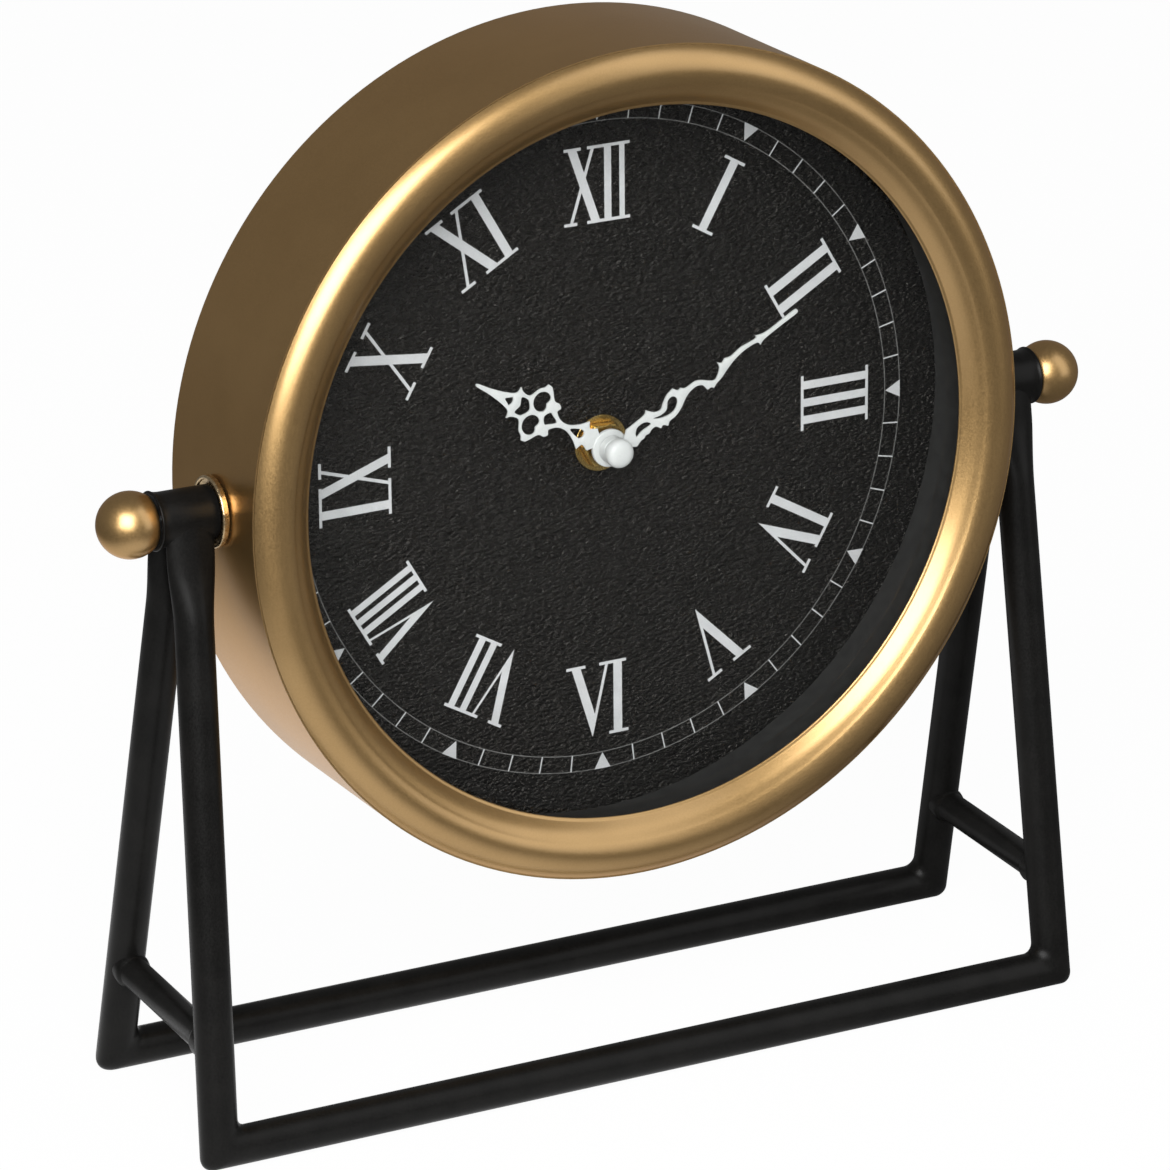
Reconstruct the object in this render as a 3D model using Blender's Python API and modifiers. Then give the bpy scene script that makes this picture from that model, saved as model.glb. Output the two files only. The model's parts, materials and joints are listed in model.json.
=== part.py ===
# A round table clock whose drum tilts between the two uprights of a tube stand.
# The clock stands on the floor plane at Z 0, faces -Y, and is centred on the origin.

import math

import bmesh
import bpy
from mathutils import Matrix, Vector

mm = 0.001
degree = math.pi / 180

# Clearances
gap = 0.3 * mm
fine_gap = 0.15 * mm
overrun = 2.0 * mm
weld_distance = 0.001 * mm
edge_ease = 0.3 * mm

# Stand tubes
tube_diameter = 10.0 * mm
tube_wall = 1.0 * mm
pivot_height = 163.9 * mm
foot_offset = 14.0 * mm
foot_half_depth = 31.7 * mm
upright_offset = 8.9 * mm
top_half_depth = 3.8 * mm
brace_diameter = 8.0 * mm
brace_height = 31.5 * mm
flat_width = 12.8 * mm
flat_thickness = 6.0 * mm
flat_reach = 9.0 * mm
flare_reach = 27.0 * mm
tube_sides = 16

# Drum
case_radius = 110.0 * mm
case_sheet = 0.8 * mm
case_front = 21.2 * mm
case_back = 27.5 * mm
case_rim_round = 2.5 * mm
case_rim_return = 7.0 * mm
case_tilt = 2.3 * degree
drum_sides = 48
hidden_sides = 24
ring_sides = 32

# Bezel
bezel_width = 16.1 * mm
bezel_lip_depth = 19.4 * mm
bezel_edge = 0.2 * mm
bezel_roll_width = 11.4 * mm
bezel_valley_depth = 23.3 * mm
bezel_crest_inset = 6.7 * mm
bezel_crest_depth = 24.9 * mm
bezel_roll_height = 9.7 * mm
bezel_spigot = 5.0 * mm
bezel_sheet = 0.8 * mm

# Glass, dial and the rings that hold them
glass_margin = 9.0 * mm
glass_thickness = 2.0 * mm
spacer_margin = 9.6 * mm
spacer_wall = 1.2 * mm
spacer_flange = 2.2 * mm
spacer_flange_thickness = 1.0 * mm
dial_depth = -3.2 * mm
dial_margin = 7.0 * mm
dial_sheet = 0.6 * mm
board_thickness = 2.4 * mm
rear_spacer_margin = 9.4 * mm
rear_spacer_wall = 2.0 * mm
cover_thickness = 2.4 * mm
cover_opening_margin = 4.0 * mm
cover_opening_round = 5.0 * mm

# Pivots
bolt_diameter = 5.0 * mm
bolt_head_diameter = 8.0 * mm
bolt_head_height = 2.4 * mm
cup_diameter = 18.5 * mm
cup_floor = 0.8 * mm
cup_height = 1.8 * mm
cup_rim = 1.0 * mm
sleeve_diameter = 14.0 * mm
sleeve_overhang = 8.6 * mm
sleeve_rim_diameter = 15.2 * mm
sleeve_rim_width = 1.2 * mm
knob_diameter = 17.0 * mm
knob_seat = 5.4 * mm
knob_bore_depth = 8.2 * mm
pivot_sides = 20
arbor_sides = 12
train_sides = 8

# Movement housing
housing_margin = 3.25 * mm
housing_depth = 14.5 * mm
housing_wall = 1.2 * mm
housing_round = 3.0 * mm
lid_thickness = 1.2 * mm
bay_height = 17.0 * mm
bush_diameter = 7.4 * mm
bush_bore = 5.5 * mm
bush_reach = 4.3 * mm
rubber_diameter = 20.0 * mm
rubber_thickness = 1.0 * mm
washer_diameter = 15.0 * mm
washer_thickness = 0.5 * mm
nut_across_flats = 11.0 * mm
nut_thickness = 2.5 * mm
nut_chamfer = 0.5 * mm

# Arbors and pipes
minute_arbor_diameter = 3.0 * mm
minute_arbor_reach = 10.6 * mm
train_arbor_diameter = 1.2 * mm
motion_arbor_diameter = 1.6 * mm
hour_pipe_diameter = 5.0 * mm
hour_pipe_reach = 6.0 * mm

# Gears, with modules as shares of the housing's width
# and each level's distance behind the housing's front
wheel_thickness = 0.9 * mm
pinion_thickness = 1.4 * mm
motion_module_share = 0.00892
hour_module_share = 0.00714
centre_module_share = 0.0066
third_module_share = 0.0059
seconds_module_share = 0.0052
step_module_share = 0.0071
hour_level = 1.5 * mm
motion_level = 3.4 * mm
centre_level = 5.9 * mm
third_level = 8.0 * mm
seconds_level = 10.5 * mm
step_level = 12.4 * mm
cannon_teeth = 10
motion_teeth = 30
motion_pinion_teeth = 10
hour_teeth = 40
train_pinion_teeth = 6
centre_teeth = 45
third_teeth = 48
seconds_teeth = 45
step_teeth = 24
motion_direction = 135 * degree
third_direction = 60 * degree
seconds_direction = 103 * degree
step_direction = 12 * degree
rotor_direction = -62 * degree
tooth_tip_share = 0.75
tooth_root_share = 1.05
tooth_width_share = 0.74

# Step motor and electronics
rotor_diameter = 5.0 * mm
rotor_height = 2.8 * mm
rotor_level = 9.2 * mm
stator_thickness = 0.8 * mm
stator_level = 9.3 * mm
stator_gap = 0.6 * mm
stator_arm = 2.0 * mm
coil_margin = 1.1 * mm
coil_length_share = 0.43
coil_centre_share = 0.15
coil_diameter = 6.0 * mm
bobbin_diameter = 7.0 * mm
bobbin_core = 2.6 * mm
bobbin_flange = 1.0 * mm
board_width = 9.0 * mm
board_margin = 5.0 * mm
circuit_thickness = 1.0 * mm
circuit_level = 12.0 * mm
crystal_diameter = 2.4 * mm
crystal_length = 6.4 * mm

# Battery
cell_diameter = 14.2 * mm
cell_length = 49.5 * mm
cell_nub_diameter = 5.4 * mm
cell_nub_length = 1.0 * mm
contact_width = 8.0 * mm
contact_thickness = 0.4 * mm
contact_height = 9.0 * mm

# Setting knob at the back
setting_diameter = 9.0 * mm
setting_height = 2.9 * mm
setting_ridge = 0.3 * mm
setting_ridges = 12

# Hands, as distances in front of the dial
hand_thickness = 0.6 * mm
hour_hand_length = 44.4 * mm
hour_hand_reach = 4.7 * mm
hour_collet_diameter = 10.0 * mm
hour_collet_height = 1.2 * mm
hour_hand_angle = -59.5 * degree
minute_hand_length = 61.0 * mm
minute_hand_reach = 8.2 * mm
minute_collet_diameter = 7.2 * mm
minute_collet_height = 1.9 * mm
minute_hand_angle = 60.5 * degree
cap_diameter = 7.6 * mm
cap_height = 3.4 * mm

# Hand outlines, in shares of the hand's length along it and to its side.
# The third value is True at a thorn and False where the edge runs smoothly.
hour_half_shares = (
    (1.000, 0.000, False), (0.985, 0.010, False), (0.900, 0.017, False), (0.800, 0.034, False),
    (0.732, 0.058, False), (0.722, 0.098, True), (0.694, 0.078, False), (0.640, 0.077, False),
    (0.605, 0.132, False), (0.577, 0.154, False), (0.563, 0.178, True), (0.536, 0.174, True),
    (0.516, 0.152, False), (0.478, 0.108, False), (0.440, 0.104, False), (0.419, 0.084, False),
    (0.430, 0.056, False), (0.380, 0.022, False), (0.315, 0.020, False), (0.250, 0.050, False),
    (0.202, 0.088, True), (0.180, 0.052, False), (0.134, 0.070, True), (0.100, 0.040, True),
)
hour_hole_shares = (
    ((0.787, 0.0), (0.762, 0.017), (0.742, 0.026), (0.729, 0.0), (0.742, -0.026), (0.762, -0.017)),
    ((0.690, 0.046), (0.676, 0.0), (0.690, -0.046), (0.655, -0.052), (0.630, -0.042),
     (0.602, 0.0), (0.630, 0.042), (0.655, 0.052)),
    ((0.497, 0.0), (0.470, 0.038), (0.444, 0.028), (0.400, 0.0), (0.444, -0.028), (0.470, -0.038)),
    ((0.300, 0.0), (0.222, 0.027), (0.197, 0.0), (0.222, -0.027)),
)
hour_ring_along_share = 0.551
hour_ring_side_share = 0.074
hour_ring_hole_share = 0.052
hour_ring_knob_share = 0.42
minute_left_shares = (
    (0.990, -0.009, False), (0.925, -0.009, False), (0.829, -0.010, False), (0.781, -0.028, True),
    (0.775, -0.015, False), (0.702, -0.025, False), (0.645, -0.021, False), (0.615, -0.032, True),
    (0.595, -0.022, False), (0.577, -0.040, True), (0.575, -0.010, False), (0.546, 0.018, False),
    (0.522, 0.019, False), (0.482, -0.015, False), (0.453, -0.031, False), (0.402, -0.034, False),
    (0.384, -0.050, True), (0.368, -0.048, False), (0.352, -0.070, True), (0.315, -0.062, False),
    (0.281, -0.040, False), (0.262, -0.025, False), (0.231, -0.034, False), (0.202, -0.068, True),
    (0.185, -0.053, False), (0.126, -0.050, False), (0.087, -0.050, True), (0.055, -0.020, True),
)
minute_right_shares = (
    (0.055, 0.020, True), (0.090, 0.044, True), (0.120, 0.033, False), (0.135, 0.034, False),
    (0.148, 0.027, False), (0.165, 0.030, False), (0.182, 0.022, False), (0.205, 0.024, False),
    (0.221, 0.046, True), (0.236, 0.040, False), (0.254, 0.058, True), (0.270, 0.044, False),
    (0.305, 0.042, False), (0.342, 0.028, False), (0.372, 0.008, False), (0.405, -0.007, False),
    (0.445, -0.010, False), (0.472, 0.005, False), (0.482, 0.038, True), (0.501, 0.038, False),
    (0.510, 0.050, True), (0.530, 0.040, False), (0.563, 0.032, False), (0.610, 0.014, False),
    (0.660, 0.000, False), (0.715, -0.005, False), (0.772, 0.003, False), (0.783, 0.024, True),
    (0.812, 0.011, False), (0.925, 0.009, False), (0.990, 0.009, False), (1.000, 0.000, False),
)
minute_hole_shares = (
    ((0.330, -0.044), (0.345, -0.026), (0.340, -0.003), (0.313, 0.018), (0.280, 0.019),
     (0.240, 0.006), (0.212, -0.016), (0.245, -0.006), (0.277, -0.007), (0.292, -0.022),
     (0.306, -0.040)),
    ((0.193, 0.000), (0.178, -0.022), (0.154, -0.030), (0.128, -0.026), (0.110, -0.006),
     (0.112, 0.008), (0.130, 0.004), (0.152, 0.001), (0.175, 0.003)),
)

# Colours with roughness and metallic value
gold_paint = ("gold_paint", (0.48, 0.31, 0.13, 1.0), 0.38, 0.85)
black_paint = ("black_paint", (0.012, 0.012, 0.012, 1.0), 0.42, 0.2)
black_board = ("black_board", (0.015, 0.014, 0.013, 1.0), 0.7, 0.0)
dial_leather = ("dial_leather", (0.02, 0.019, 0.018, 1.0), 0.6, 0.0)
clear_glass = ("clear_glass", (0.95, 0.97, 0.97, 1.0), 0.03, 0.0)
white_paint = ("white_paint", (0.82, 0.83, 0.82, 1.0), 0.4, 0.0)
steel = ("steel", (0.55, 0.55, 0.56, 1.0), 0.3, 1.0)
brass = ("brass", (0.62, 0.43, 0.16, 1.0), 0.3, 1.0)
black_plastic = ("black_plastic", (0.02, 0.02, 0.021, 1.0), 0.5, 0.0)
white_plastic = ("white_plastic", (0.75, 0.74, 0.70, 1.0), 0.45, 0.0)
black_rubber = ("black_rubber", (0.018, 0.018, 0.018, 1.0), 0.8, 0.0)
copper_wire = ("copper_wire", (0.55, 0.22, 0.08, 1.0), 0.35, 0.9)
green_board = ("green_board", (0.03, 0.18, 0.07, 1.0), 0.5, 0.0)
cell_jacket = ("cell_jacket", (0.16, 0.17, 0.19, 1.0), 0.35, 0.3)

# Places that follow from the sizes above
case_inner_radius = case_radius - case_sheet
bezel_lip_radius = case_radius - bezel_width
bezel_valley_radius = case_radius - bezel_roll_width
glass_radius = case_radius - glass_margin
spacer_radius = case_radius - spacer_margin
dial_radius = case_radius - dial_margin
rear_spacer_radius = case_radius - rear_spacer_margin
top_half_width = case_radius + upright_offset
foot_half_width = case_radius + foot_offset
tube_radius = tube_diameter / 2
tube_corner_radius = tube_radius / math.cos(math.pi / tube_sides)
glass_front = bezel_lip_depth - bezel_sheet - gap
glass_back = glass_front - glass_thickness
board_front = dial_depth - dial_sheet - gap
board_back = board_front - board_thickness
rubber_front = board_back - gap
housing_front = rubber_front - rubber_thickness - gap
housing_rear = housing_front - housing_depth
lid_front = housing_rear - gap
lid_rear = lid_front - lid_thickness
room_front = housing_front - housing_wall
arbor_rear = lid_front + gap
cover_rear = case_sheet + gap - case_back
cover_front = cover_rear + cover_thickness
housing_width = cell_length + 2 * housing_margin
half_housing = housing_width / 2
cover_opening = housing_width + 2 * cover_opening_margin
motion_module = housing_width * motion_module_share
hour_module = housing_width * hour_module_share
centre_module = housing_width * centre_module_share
third_module = housing_width * third_module_share
seconds_module = housing_width * seconds_module_share
step_module = housing_width * step_module_share
bay_top = bay_height + housing_wall - half_housing
room_bottom = bay_top + housing_wall
cell_offset = (bay_top + housing_wall - half_housing) / 2
cell_depth = room_front - gap - cell_diameter / 2
motion_distance = motion_module * (cannon_teeth + motion_teeth) / 2
bolt_bore = bolt_diameter / 2 + gap
cup_start = case_radius + gap
sleeve_start = cup_start + cup_floor + gap
sleeve_end = top_half_width + sleeve_overhang
knob_flat = sleeve_end + gap
knob_centre = knob_flat + knob_seat


def clear_scene():
    for item in list(bpy.data.objects):
        bpy.data.objects.remove(item, do_unlink=True)


def make_collection(name):
    collection = bpy.data.collections.new(name)
    bpy.context.scene.collection.children.link(collection)
    return collection


def paint(finish):
    name, colour, roughness, metallic = finish
    material = bpy.data.materials.get(name)
    if material is None:
        material = bpy.data.materials.new(name)
        material.use_nodes = True
        shader = material.node_tree.nodes["Principled BSDF"]
        shader.inputs["Base Color"].default_value = colour
        shader.inputs["Roughness"].default_value = roughness
        shader.inputs["Metallic"].default_value = metallic
        material.diffuse_color = colour
    return material


def mesh_from_bmesh(name, shape):
    mesh = bpy.data.meshes.new(name)
    bmesh.ops.recalc_face_normals(shape, faces=shape.faces)
    shape.to_mesh(mesh)
    shape.free()
    return mesh


def baked_mesh(item):
    # The evaluated mesh of a helper object, welded, with the helper removed
    bpy.context.view_layer.update()
    depsgraph = bpy.context.evaluated_depsgraph_get()
    mesh = bpy.data.meshes.new_from_object(item.evaluated_get(depsgraph))
    bpy.data.objects.remove(item, do_unlink=True)
    shape = bmesh.new()
    shape.from_mesh(mesh)
    bmesh.ops.remove_doubles(shape, verts=shape.verts, dist=weld_distance)
    shape.to_mesh(mesh)
    shape.free()
    return mesh


def helper_object(name, data):
    item = bpy.data.objects.new(name, data)
    bpy.context.scene.collection.objects.link(item)
    return item


def add_empty(name, parent=None, location=(0, 0, 0), rotation=(0, 0, 0)):
    empty = bpy.data.objects.new(name, None)
    parts.objects.link(empty)
    empty.parent = parent
    empty.location = location
    empty.rotation_euler = rotation
    return empty


def add_piece(name, mesh, finish, parent=None, location=(0, 0, 0), rotation=(0, 0, 0)):
    item = bpy.data.objects.new(name, mesh)
    parts.objects.link(item)
    item.parent = parent
    item.location = location
    item.rotation_euler = rotation
    mesh.name = name
    mesh.materials.clear()
    mesh.materials.append(paint(finish))
    mesh.shade_smooth()
    mesh.set_sharp_from_angle(angle=32 * degree)
    return item


def combine(item, mesh, operation, parent=None, location=(0, 0, 0), rotation=(0, 0, 0), matrix=None):
    # Joins a tool shape to a piece, or cuts it away
    tool = bpy.data.objects.new(item.name + "_tool", mesh)
    cutters.objects.link(tool)
    tool.parent = parent
    tool.location = location
    tool.rotation_euler = rotation
    if matrix is not None:
        tool.matrix_world = matrix
    tool.hide_render = True
    tool.display_type = "WIRE"
    step = item.modifiers.new(operation.lower(), "BOOLEAN")
    step.operation = operation
    step.object = tool
    return tool


def turned_mesh(profile, sides, closed):
    # A profile of radius and height, listed down its outer side, turned about Z
    count = len(profile)
    last = count if closed else count - 1
    edges = [(index, (index + 1) % count) for index in range(last)]
    mesh = bpy.data.meshes.new("profile")
    mesh.from_pydata([(radius, 0, height) for radius, height in profile], edges, [])
    item = helper_object("profile", mesh)
    screw = item.modifiers.new("turn", "SCREW")
    screw.axis = "Z"
    screw.steps = sides
    screw.render_steps = sides
    screw.use_merge_vertices = True
    screw.merge_threshold = weld_distance
    return baked_mesh(item)


def turned_sheet_mesh(profile, sides, thickness):
    # An open profile turned about Z, thickened towards its inner side
    mesh = bpy.data.meshes.new("profile")
    edges = [(index, index + 1) for index in range(len(profile) - 1)]
    mesh.from_pydata([(radius, 0, height) for radius, height in profile], edges, [])
    item = helper_object("profile", mesh)
    screw = item.modifiers.new("turn", "SCREW")
    screw.axis = "Z"
    screw.steps = sides
    screw.render_steps = sides
    screw.use_merge_vertices = True
    screw.merge_threshold = weld_distance
    skin = item.modifiers.new("sheet", "SOLIDIFY")
    skin.thickness = thickness
    skin.offset = -1
    skin.use_even_offset = True
    return baked_mesh(item)


def ring_profile(inner, outer, low, high):
    return [(outer, high), (outer, low), (inner, low), (inner, high)]


def rod_profile(radius, low, high):
    return [(0, high), (radius, high), (radius, low), (0, low)]


def ring_mesh(inner, outer, low, high, sides):
    return turned_mesh(ring_profile(inner, outer, low, high), sides, True)


def rod_mesh(radius, low, high, sides):
    return turned_mesh(rod_profile(radius, low, high), sides, False)


def extruded_mesh(outlines, low, high):
    # Flat outlines, the first one outside and the others its holes
    curve = bpy.data.curves.new("outline", "CURVE")
    curve.dimensions = "2D"
    curve.fill_mode = "BOTH"
    curve.extrude = (high - low) / 2
    for outline in outlines:
        spline = curve.splines.new("POLY")
        spline.points.add(len(outline) - 1)
        for point, place in zip(spline.points, outline):
            point.co = (place[0], place[1], 0, 1)
        spline.use_cyclic_u = True
    mesh = baked_mesh(helper_object("outline", curve))
    mesh.transform(Matrix.Translation((0, 0, (high + low) / 2)))
    return mesh


def box_mesh(low_corner, high_corner):
    shape = bmesh.new()
    bmesh.ops.create_cube(shape, size=1)
    low = Vector(low_corner)
    high = Vector(high_corner)
    span = high - low
    bmesh.ops.scale(shape, vec=span, verts=shape.verts)
    bmesh.ops.translate(shape, vec=(low + high) / 2, verts=shape.verts)
    return mesh_from_bmesh("box", shape)


def circle_outline(radius, sides, centre=(0, 0)):
    turns = [2 * math.pi * index / sides for index in range(sides)]
    return [(centre[0] + radius * math.cos(a), centre[1] + radius * math.sin(a)) for a in turns]


def rounded_outline(low_x, low_y, high_x, high_y, radius, steps=4):
    corners = (
        (high_x - radius, high_y - radius, 0),
        (low_x + radius, high_y - radius, 90),
        (low_x + radius, low_y + radius, 180),
        (high_x - radius, low_y + radius, 270),
    )
    outline = []
    for x, y, start in corners:
        for index in range(steps + 1):
            angle = (start + 90 * index / steps) * degree
            outline.append((x + radius * math.cos(angle), y + radius * math.sin(angle)))
    return outline


def smooth_outline(points, steps=2):
    # A closed outline through the points, straight at thorns and curved between the others
    outline = []
    count = len(points)
    for index in range(count):
        before = points[index - 1]
        start = points[index]
        end = points[(index + 1) % count]
        after = points[(index + 2) % count]
        leave = (0, 0) if start[2] else ((end[0] - before[0]) / 2, (end[1] - before[1]) / 2)
        arrive = (0, 0) if end[2] else ((after[0] - start[0]) / 2, (after[1] - start[1]) / 2)
        for step in range(steps):
            t = step / steps
            a = 2 * t**3 - 3 * t**2 + 1
            b = t**3 - 2 * t**2 + t
            c = 3 * t**2 - 2 * t**3
            d = t**3 - t**2
            outline.append(tuple(
                a * start[k] + b * leave[k] + c * end[k] + d * arrive[k] for k in (0, 1)
            ))
    return outline


def hand_points(shares, length):
    # Shares along the hand and to its right, for a hand that points up
    return [(side * length, along * length, *rest) for along, side, *rest in shares]


def hole_points(shares, length):
    return [(x, y, False) for x, y in hand_points(shares, length)]


def gear_outline(teeth, module):
    # Pointed teeth with flat roots, the first one centred on +X
    pitch_radius = module * teeth / 2
    tip_radius = pitch_radius + tooth_tip_share * module
    root_radius = pitch_radius - tooth_root_share * module
    pitch = 2 * math.pi / teeth
    half_tooth = pitch * tooth_width_share / 2
    outline = []
    for index in range(teeth):
        angle = index * pitch
        for radius, turn in (
            (root_radius, angle - half_tooth),
            (tip_radius, angle),
            (root_radius, angle + half_tooth),
        ):
            outline.append((radius * math.cos(turn), radius * math.sin(turn)))
    return outline


def gear_mesh(teeth, module, level, thickness):
    high = housing_front - level
    return extruded_mesh([gear_outline(teeth, module)], high - thickness, high)


def mesh_turn(direction, lead_turn, lead_teeth, teeth):
    # The turn that puts a follower's gap opposite its leader's tooth along a direction
    lead_pitch = 2 * math.pi / lead_teeth
    pitch = 2 * math.pi / teeth
    lead_phase = ((direction - lead_turn) / lead_pitch) % 1
    return direction + math.pi - (0.5 - lead_phase) * pitch


def axis_matrix(origin, direction):
    # Local Z along a direction, with local X kept as near as can be to world X
    up = direction.normalized()
    across = (Vector((1, 0, 0)) - up * up.x).normalized()
    if across.length < 0.5:
        across = Vector((0, 1, 0))
    depth = up.cross(across)
    matrix = Matrix((across, depth, up)).transposed().to_4x4()
    matrix.translation = origin
    return matrix


def bar_matrix(origin):
    # Local Z along world X and local Y along world Z
    matrix = Matrix(((0, 0, 1), (1, 0, 0), (0, 1, 0))).to_4x4()
    matrix.translation = origin
    return matrix


def tube_mesh(radius, low, high):
    # A prism of tube_sides flats whose flats, not corners, face the local axes
    shape = bmesh.new()
    corner = radius / math.cos(math.pi / tube_sides)
    bmesh.ops.create_cone(shape, cap_ends=True, segments=tube_sides, radius1=corner, radius2=corner,
                          depth=high - low)
    turn = Matrix.Rotation(math.pi / tube_sides, 4, "Z")
    bmesh.ops.transform(shape, matrix=turn, verts=shape.verts)
    bmesh.ops.translate(shape, vec=(0, 0, (low + high) / 2), verts=shape.verts)
    return mesh_from_bmesh("tube", shape)


def leg_loft(length, inset, low, high):
    # A round tube that is pressed flat and wide over its top end
    radius = tube_corner_radius - inset
    shape = bmesh.new()
    rings = []
    steps = 2
    flat_start = length - flat_reach
    flare_start = length - flare_reach
    heights = [low]
    heights += [flare_start + (flat_start - flare_start) * index / steps for index in range(steps + 1)]
    heights.append(high)
    for height in heights:
        share = min(max((height - flare_start) / (flat_start - flare_start), 0), 1)
        share = share * share * (3 - 2 * share)
        half_width = radius + (flat_width / 2 - inset - radius) * share
        half_depth = radius + (flat_thickness / 2 - inset - radius) * share
        ring = []
        for index in range(tube_sides):
            angle = 2 * math.pi * (index + 0.5) / tube_sides
            place = (half_width * math.cos(angle), half_depth * math.sin(angle), height)
            ring.append(shape.verts.new(place))
        rings.append(ring)
    for lower, upper in zip(rings, rings[1:]):
        for index in range(tube_sides):
            beside = (index + 1) % tube_sides
            shape.faces.new((lower[index], lower[beside], upper[beside], upper[index]))
    shape.faces.new(list(reversed(rings[0])))
    shape.faces.new(rings[-1])
    return mesh_from_bmesh("leg", shape)


def foot_corner(side, front):
    return Vector((side * foot_half_width, front * foot_half_depth, tube_radius))


def leg_top(side, front):
    return Vector((side * top_half_width, front * top_half_depth, pivot_height))


def mitre_normal(side, front):
    leg = (leg_top(side, front) - foot_corner(side, front)).normalized()
    bar = Vector((-side, 0, 0))
    return (leg - bar).normalized()


def cut_half_space(item, place, normal):
    # Cuts away everything on the far side of a plane, as seen along its normal
    reach = 3 * tube_diameter
    block = box_mesh((-reach / 2, -reach / 2, 0), (reach / 2, reach / 2, reach))
    combine(item, block, "DIFFERENCE", matrix=axis_matrix(place, normal))


def make_leg(name, side, front):
    foot = foot_corner(side, front)
    top = leg_top(side, front)
    length = (top - foot).length
    matrix = axis_matrix(foot, top - foot)
    leg = add_piece(name, leg_loft(length, 0, -tube_diameter, length), black_paint)
    leg.matrix_world = matrix
    bore = leg_loft(length, tube_wall, -tube_diameter - overrun, length + overrun)
    combine(leg, bore, "DIFFERENCE", matrix=matrix)
    normal = mitre_normal(side, front)
    cut_half_space(leg, foot + normal * (gap / 2), -normal)
    sleeve_cut = rod_mesh(sleeve_diameter / 2 + gap, sleeve_start - overrun, sleeve_end, pivot_sides)
    combine(leg, sleeve_cut, "DIFFERENCE", parent=None, location=(0, 0, pivot_height),
            rotation=(0, side * math.pi / 2, 0))


def make_bar(name, front):
    centre = Vector((0, front * foot_half_depth, tube_radius))
    reach = foot_half_width + tube_diameter
    bar = add_piece(name, tube_mesh(tube_radius, -reach, reach), black_paint)
    bar.matrix_world = bar_matrix(centre)
    bore = tube_mesh(tube_radius - tube_wall, -reach - overrun, reach + overrun)
    combine(bar, bore, "DIFFERENCE", matrix=bar_matrix(centre))
    for side in (-1, 1):
        normal = mitre_normal(side, front)
        cut_half_space(bar, foot_corner(side, front) - normal * (gap / 2), normal)


def make_brace(name, side):
    share = (brace_height - tube_radius) / (pivot_height - tube_radius)
    x = side * (foot_half_width + (top_half_width - foot_half_width) * share)
    reach = foot_half_depth
    matrix = axis_matrix(Vector((x, 0, brace_height)), Vector((0, 1, 0)))
    brace = add_piece(name, tube_mesh(brace_diameter / 2, -reach, reach), black_paint)
    brace.matrix_world = matrix
    bore = tube_mesh(brace_diameter / 2 - tube_wall, -reach - overrun, reach + overrun)
    combine(brace, bore, "DIFFERENCE", matrix=matrix)
    for front in (-1, 1):
        foot = foot_corner(side, front)
        direction = leg_top(side, front) - foot
        cope = tube_mesh(tube_radius + gap, -tube_diameter, 2 * brace_height)
        combine(brace, cope, "DIFFERENCE", matrix=axis_matrix(foot, direction))
        # The stub beyond the leg is trimmed away
        beyond = foot + direction * share
        cut_half_space(brace, beyond, Vector((0, front, 0)))


def make_stand():
    for name, side in (("left", -1), ("right", 1)):
        make_leg(name + "_front_leg", side, -1)
        make_leg(name + "_rear_leg", side, 1)
        make_brace(name + "_brace", side)
        pivot = add_empty(name + "_pivot", location=(0, 0, pivot_height),
                          rotation=(0, side * math.pi / 2, 0))
        make_sleeve(name + "_sleeve", pivot)
        make_cup(name + "_cup_washer", pivot)
        make_bolt(name + "_pivot_bolt", pivot)
        make_knob(name + "_knob", pivot)
    make_bar("front_bar", -1)
    make_bar("rear_bar", 1)


def make_sleeve(name, pivot):
    radius = sleeve_diameter / 2
    rim = sleeve_rim_diameter / 2
    rim_start = sleeve_end - sleeve_rim_width
    profile = [
        (rim, sleeve_end), (rim, rim_start + edge_ease), (radius, rim_start),
        (radius, sleeve_start), (bolt_bore, sleeve_start), (bolt_bore, sleeve_end),
    ]
    add_piece(name, turned_mesh(profile, pivot_sides, True), black_paint, pivot)


def make_cup(name, pivot):
    radius = cup_diameter / 2
    top = cup_start + cup_height
    floor = cup_start + cup_floor
    profile = [
        (radius - edge_ease, top), (radius, top - edge_ease), (radius, cup_start + edge_ease),
        (radius - edge_ease, cup_start), (bolt_bore, cup_start), (bolt_bore, floor),
        (radius - cup_rim, floor), (radius - cup_rim, top),
    ]
    add_piece(name, turned_mesh(profile, pivot_sides, True), gold_paint, pivot)


def make_bolt(name, pivot):
    head = bolt_head_diameter / 2
    shank = bolt_diameter / 2
    seat = case_inner_radius - gap
    tip = knob_flat + knob_bore_depth - gap
    profile = [
        (0, tip), (shank, tip), (shank, seat), (head, seat),
        (head, seat - bolt_head_height / 2), (head / 2, seat - bolt_head_height),
        (0, seat - bolt_head_height),
    ]
    add_piece(name, turned_mesh(profile, pivot_sides, False), steel, pivot)


def make_knob(name, pivot):
    radius = knob_diameter / 2
    steps = 7
    end = math.acos(-knob_seat / radius)
    turns = [end * index / steps for index in range(1, steps + 1)]
    arc = [(radius * math.sin(turn), knob_centre + radius * math.cos(turn)) for turn in turns]
    profile = [(0, knob_centre + radius), *arc, (bolt_bore, knob_flat),
               (bolt_bore, knob_flat + knob_bore_depth), (0, knob_flat + knob_bore_depth)]
    add_piece(name, turned_mesh(profile, pivot_sides, False), gold_paint, pivot)


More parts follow.
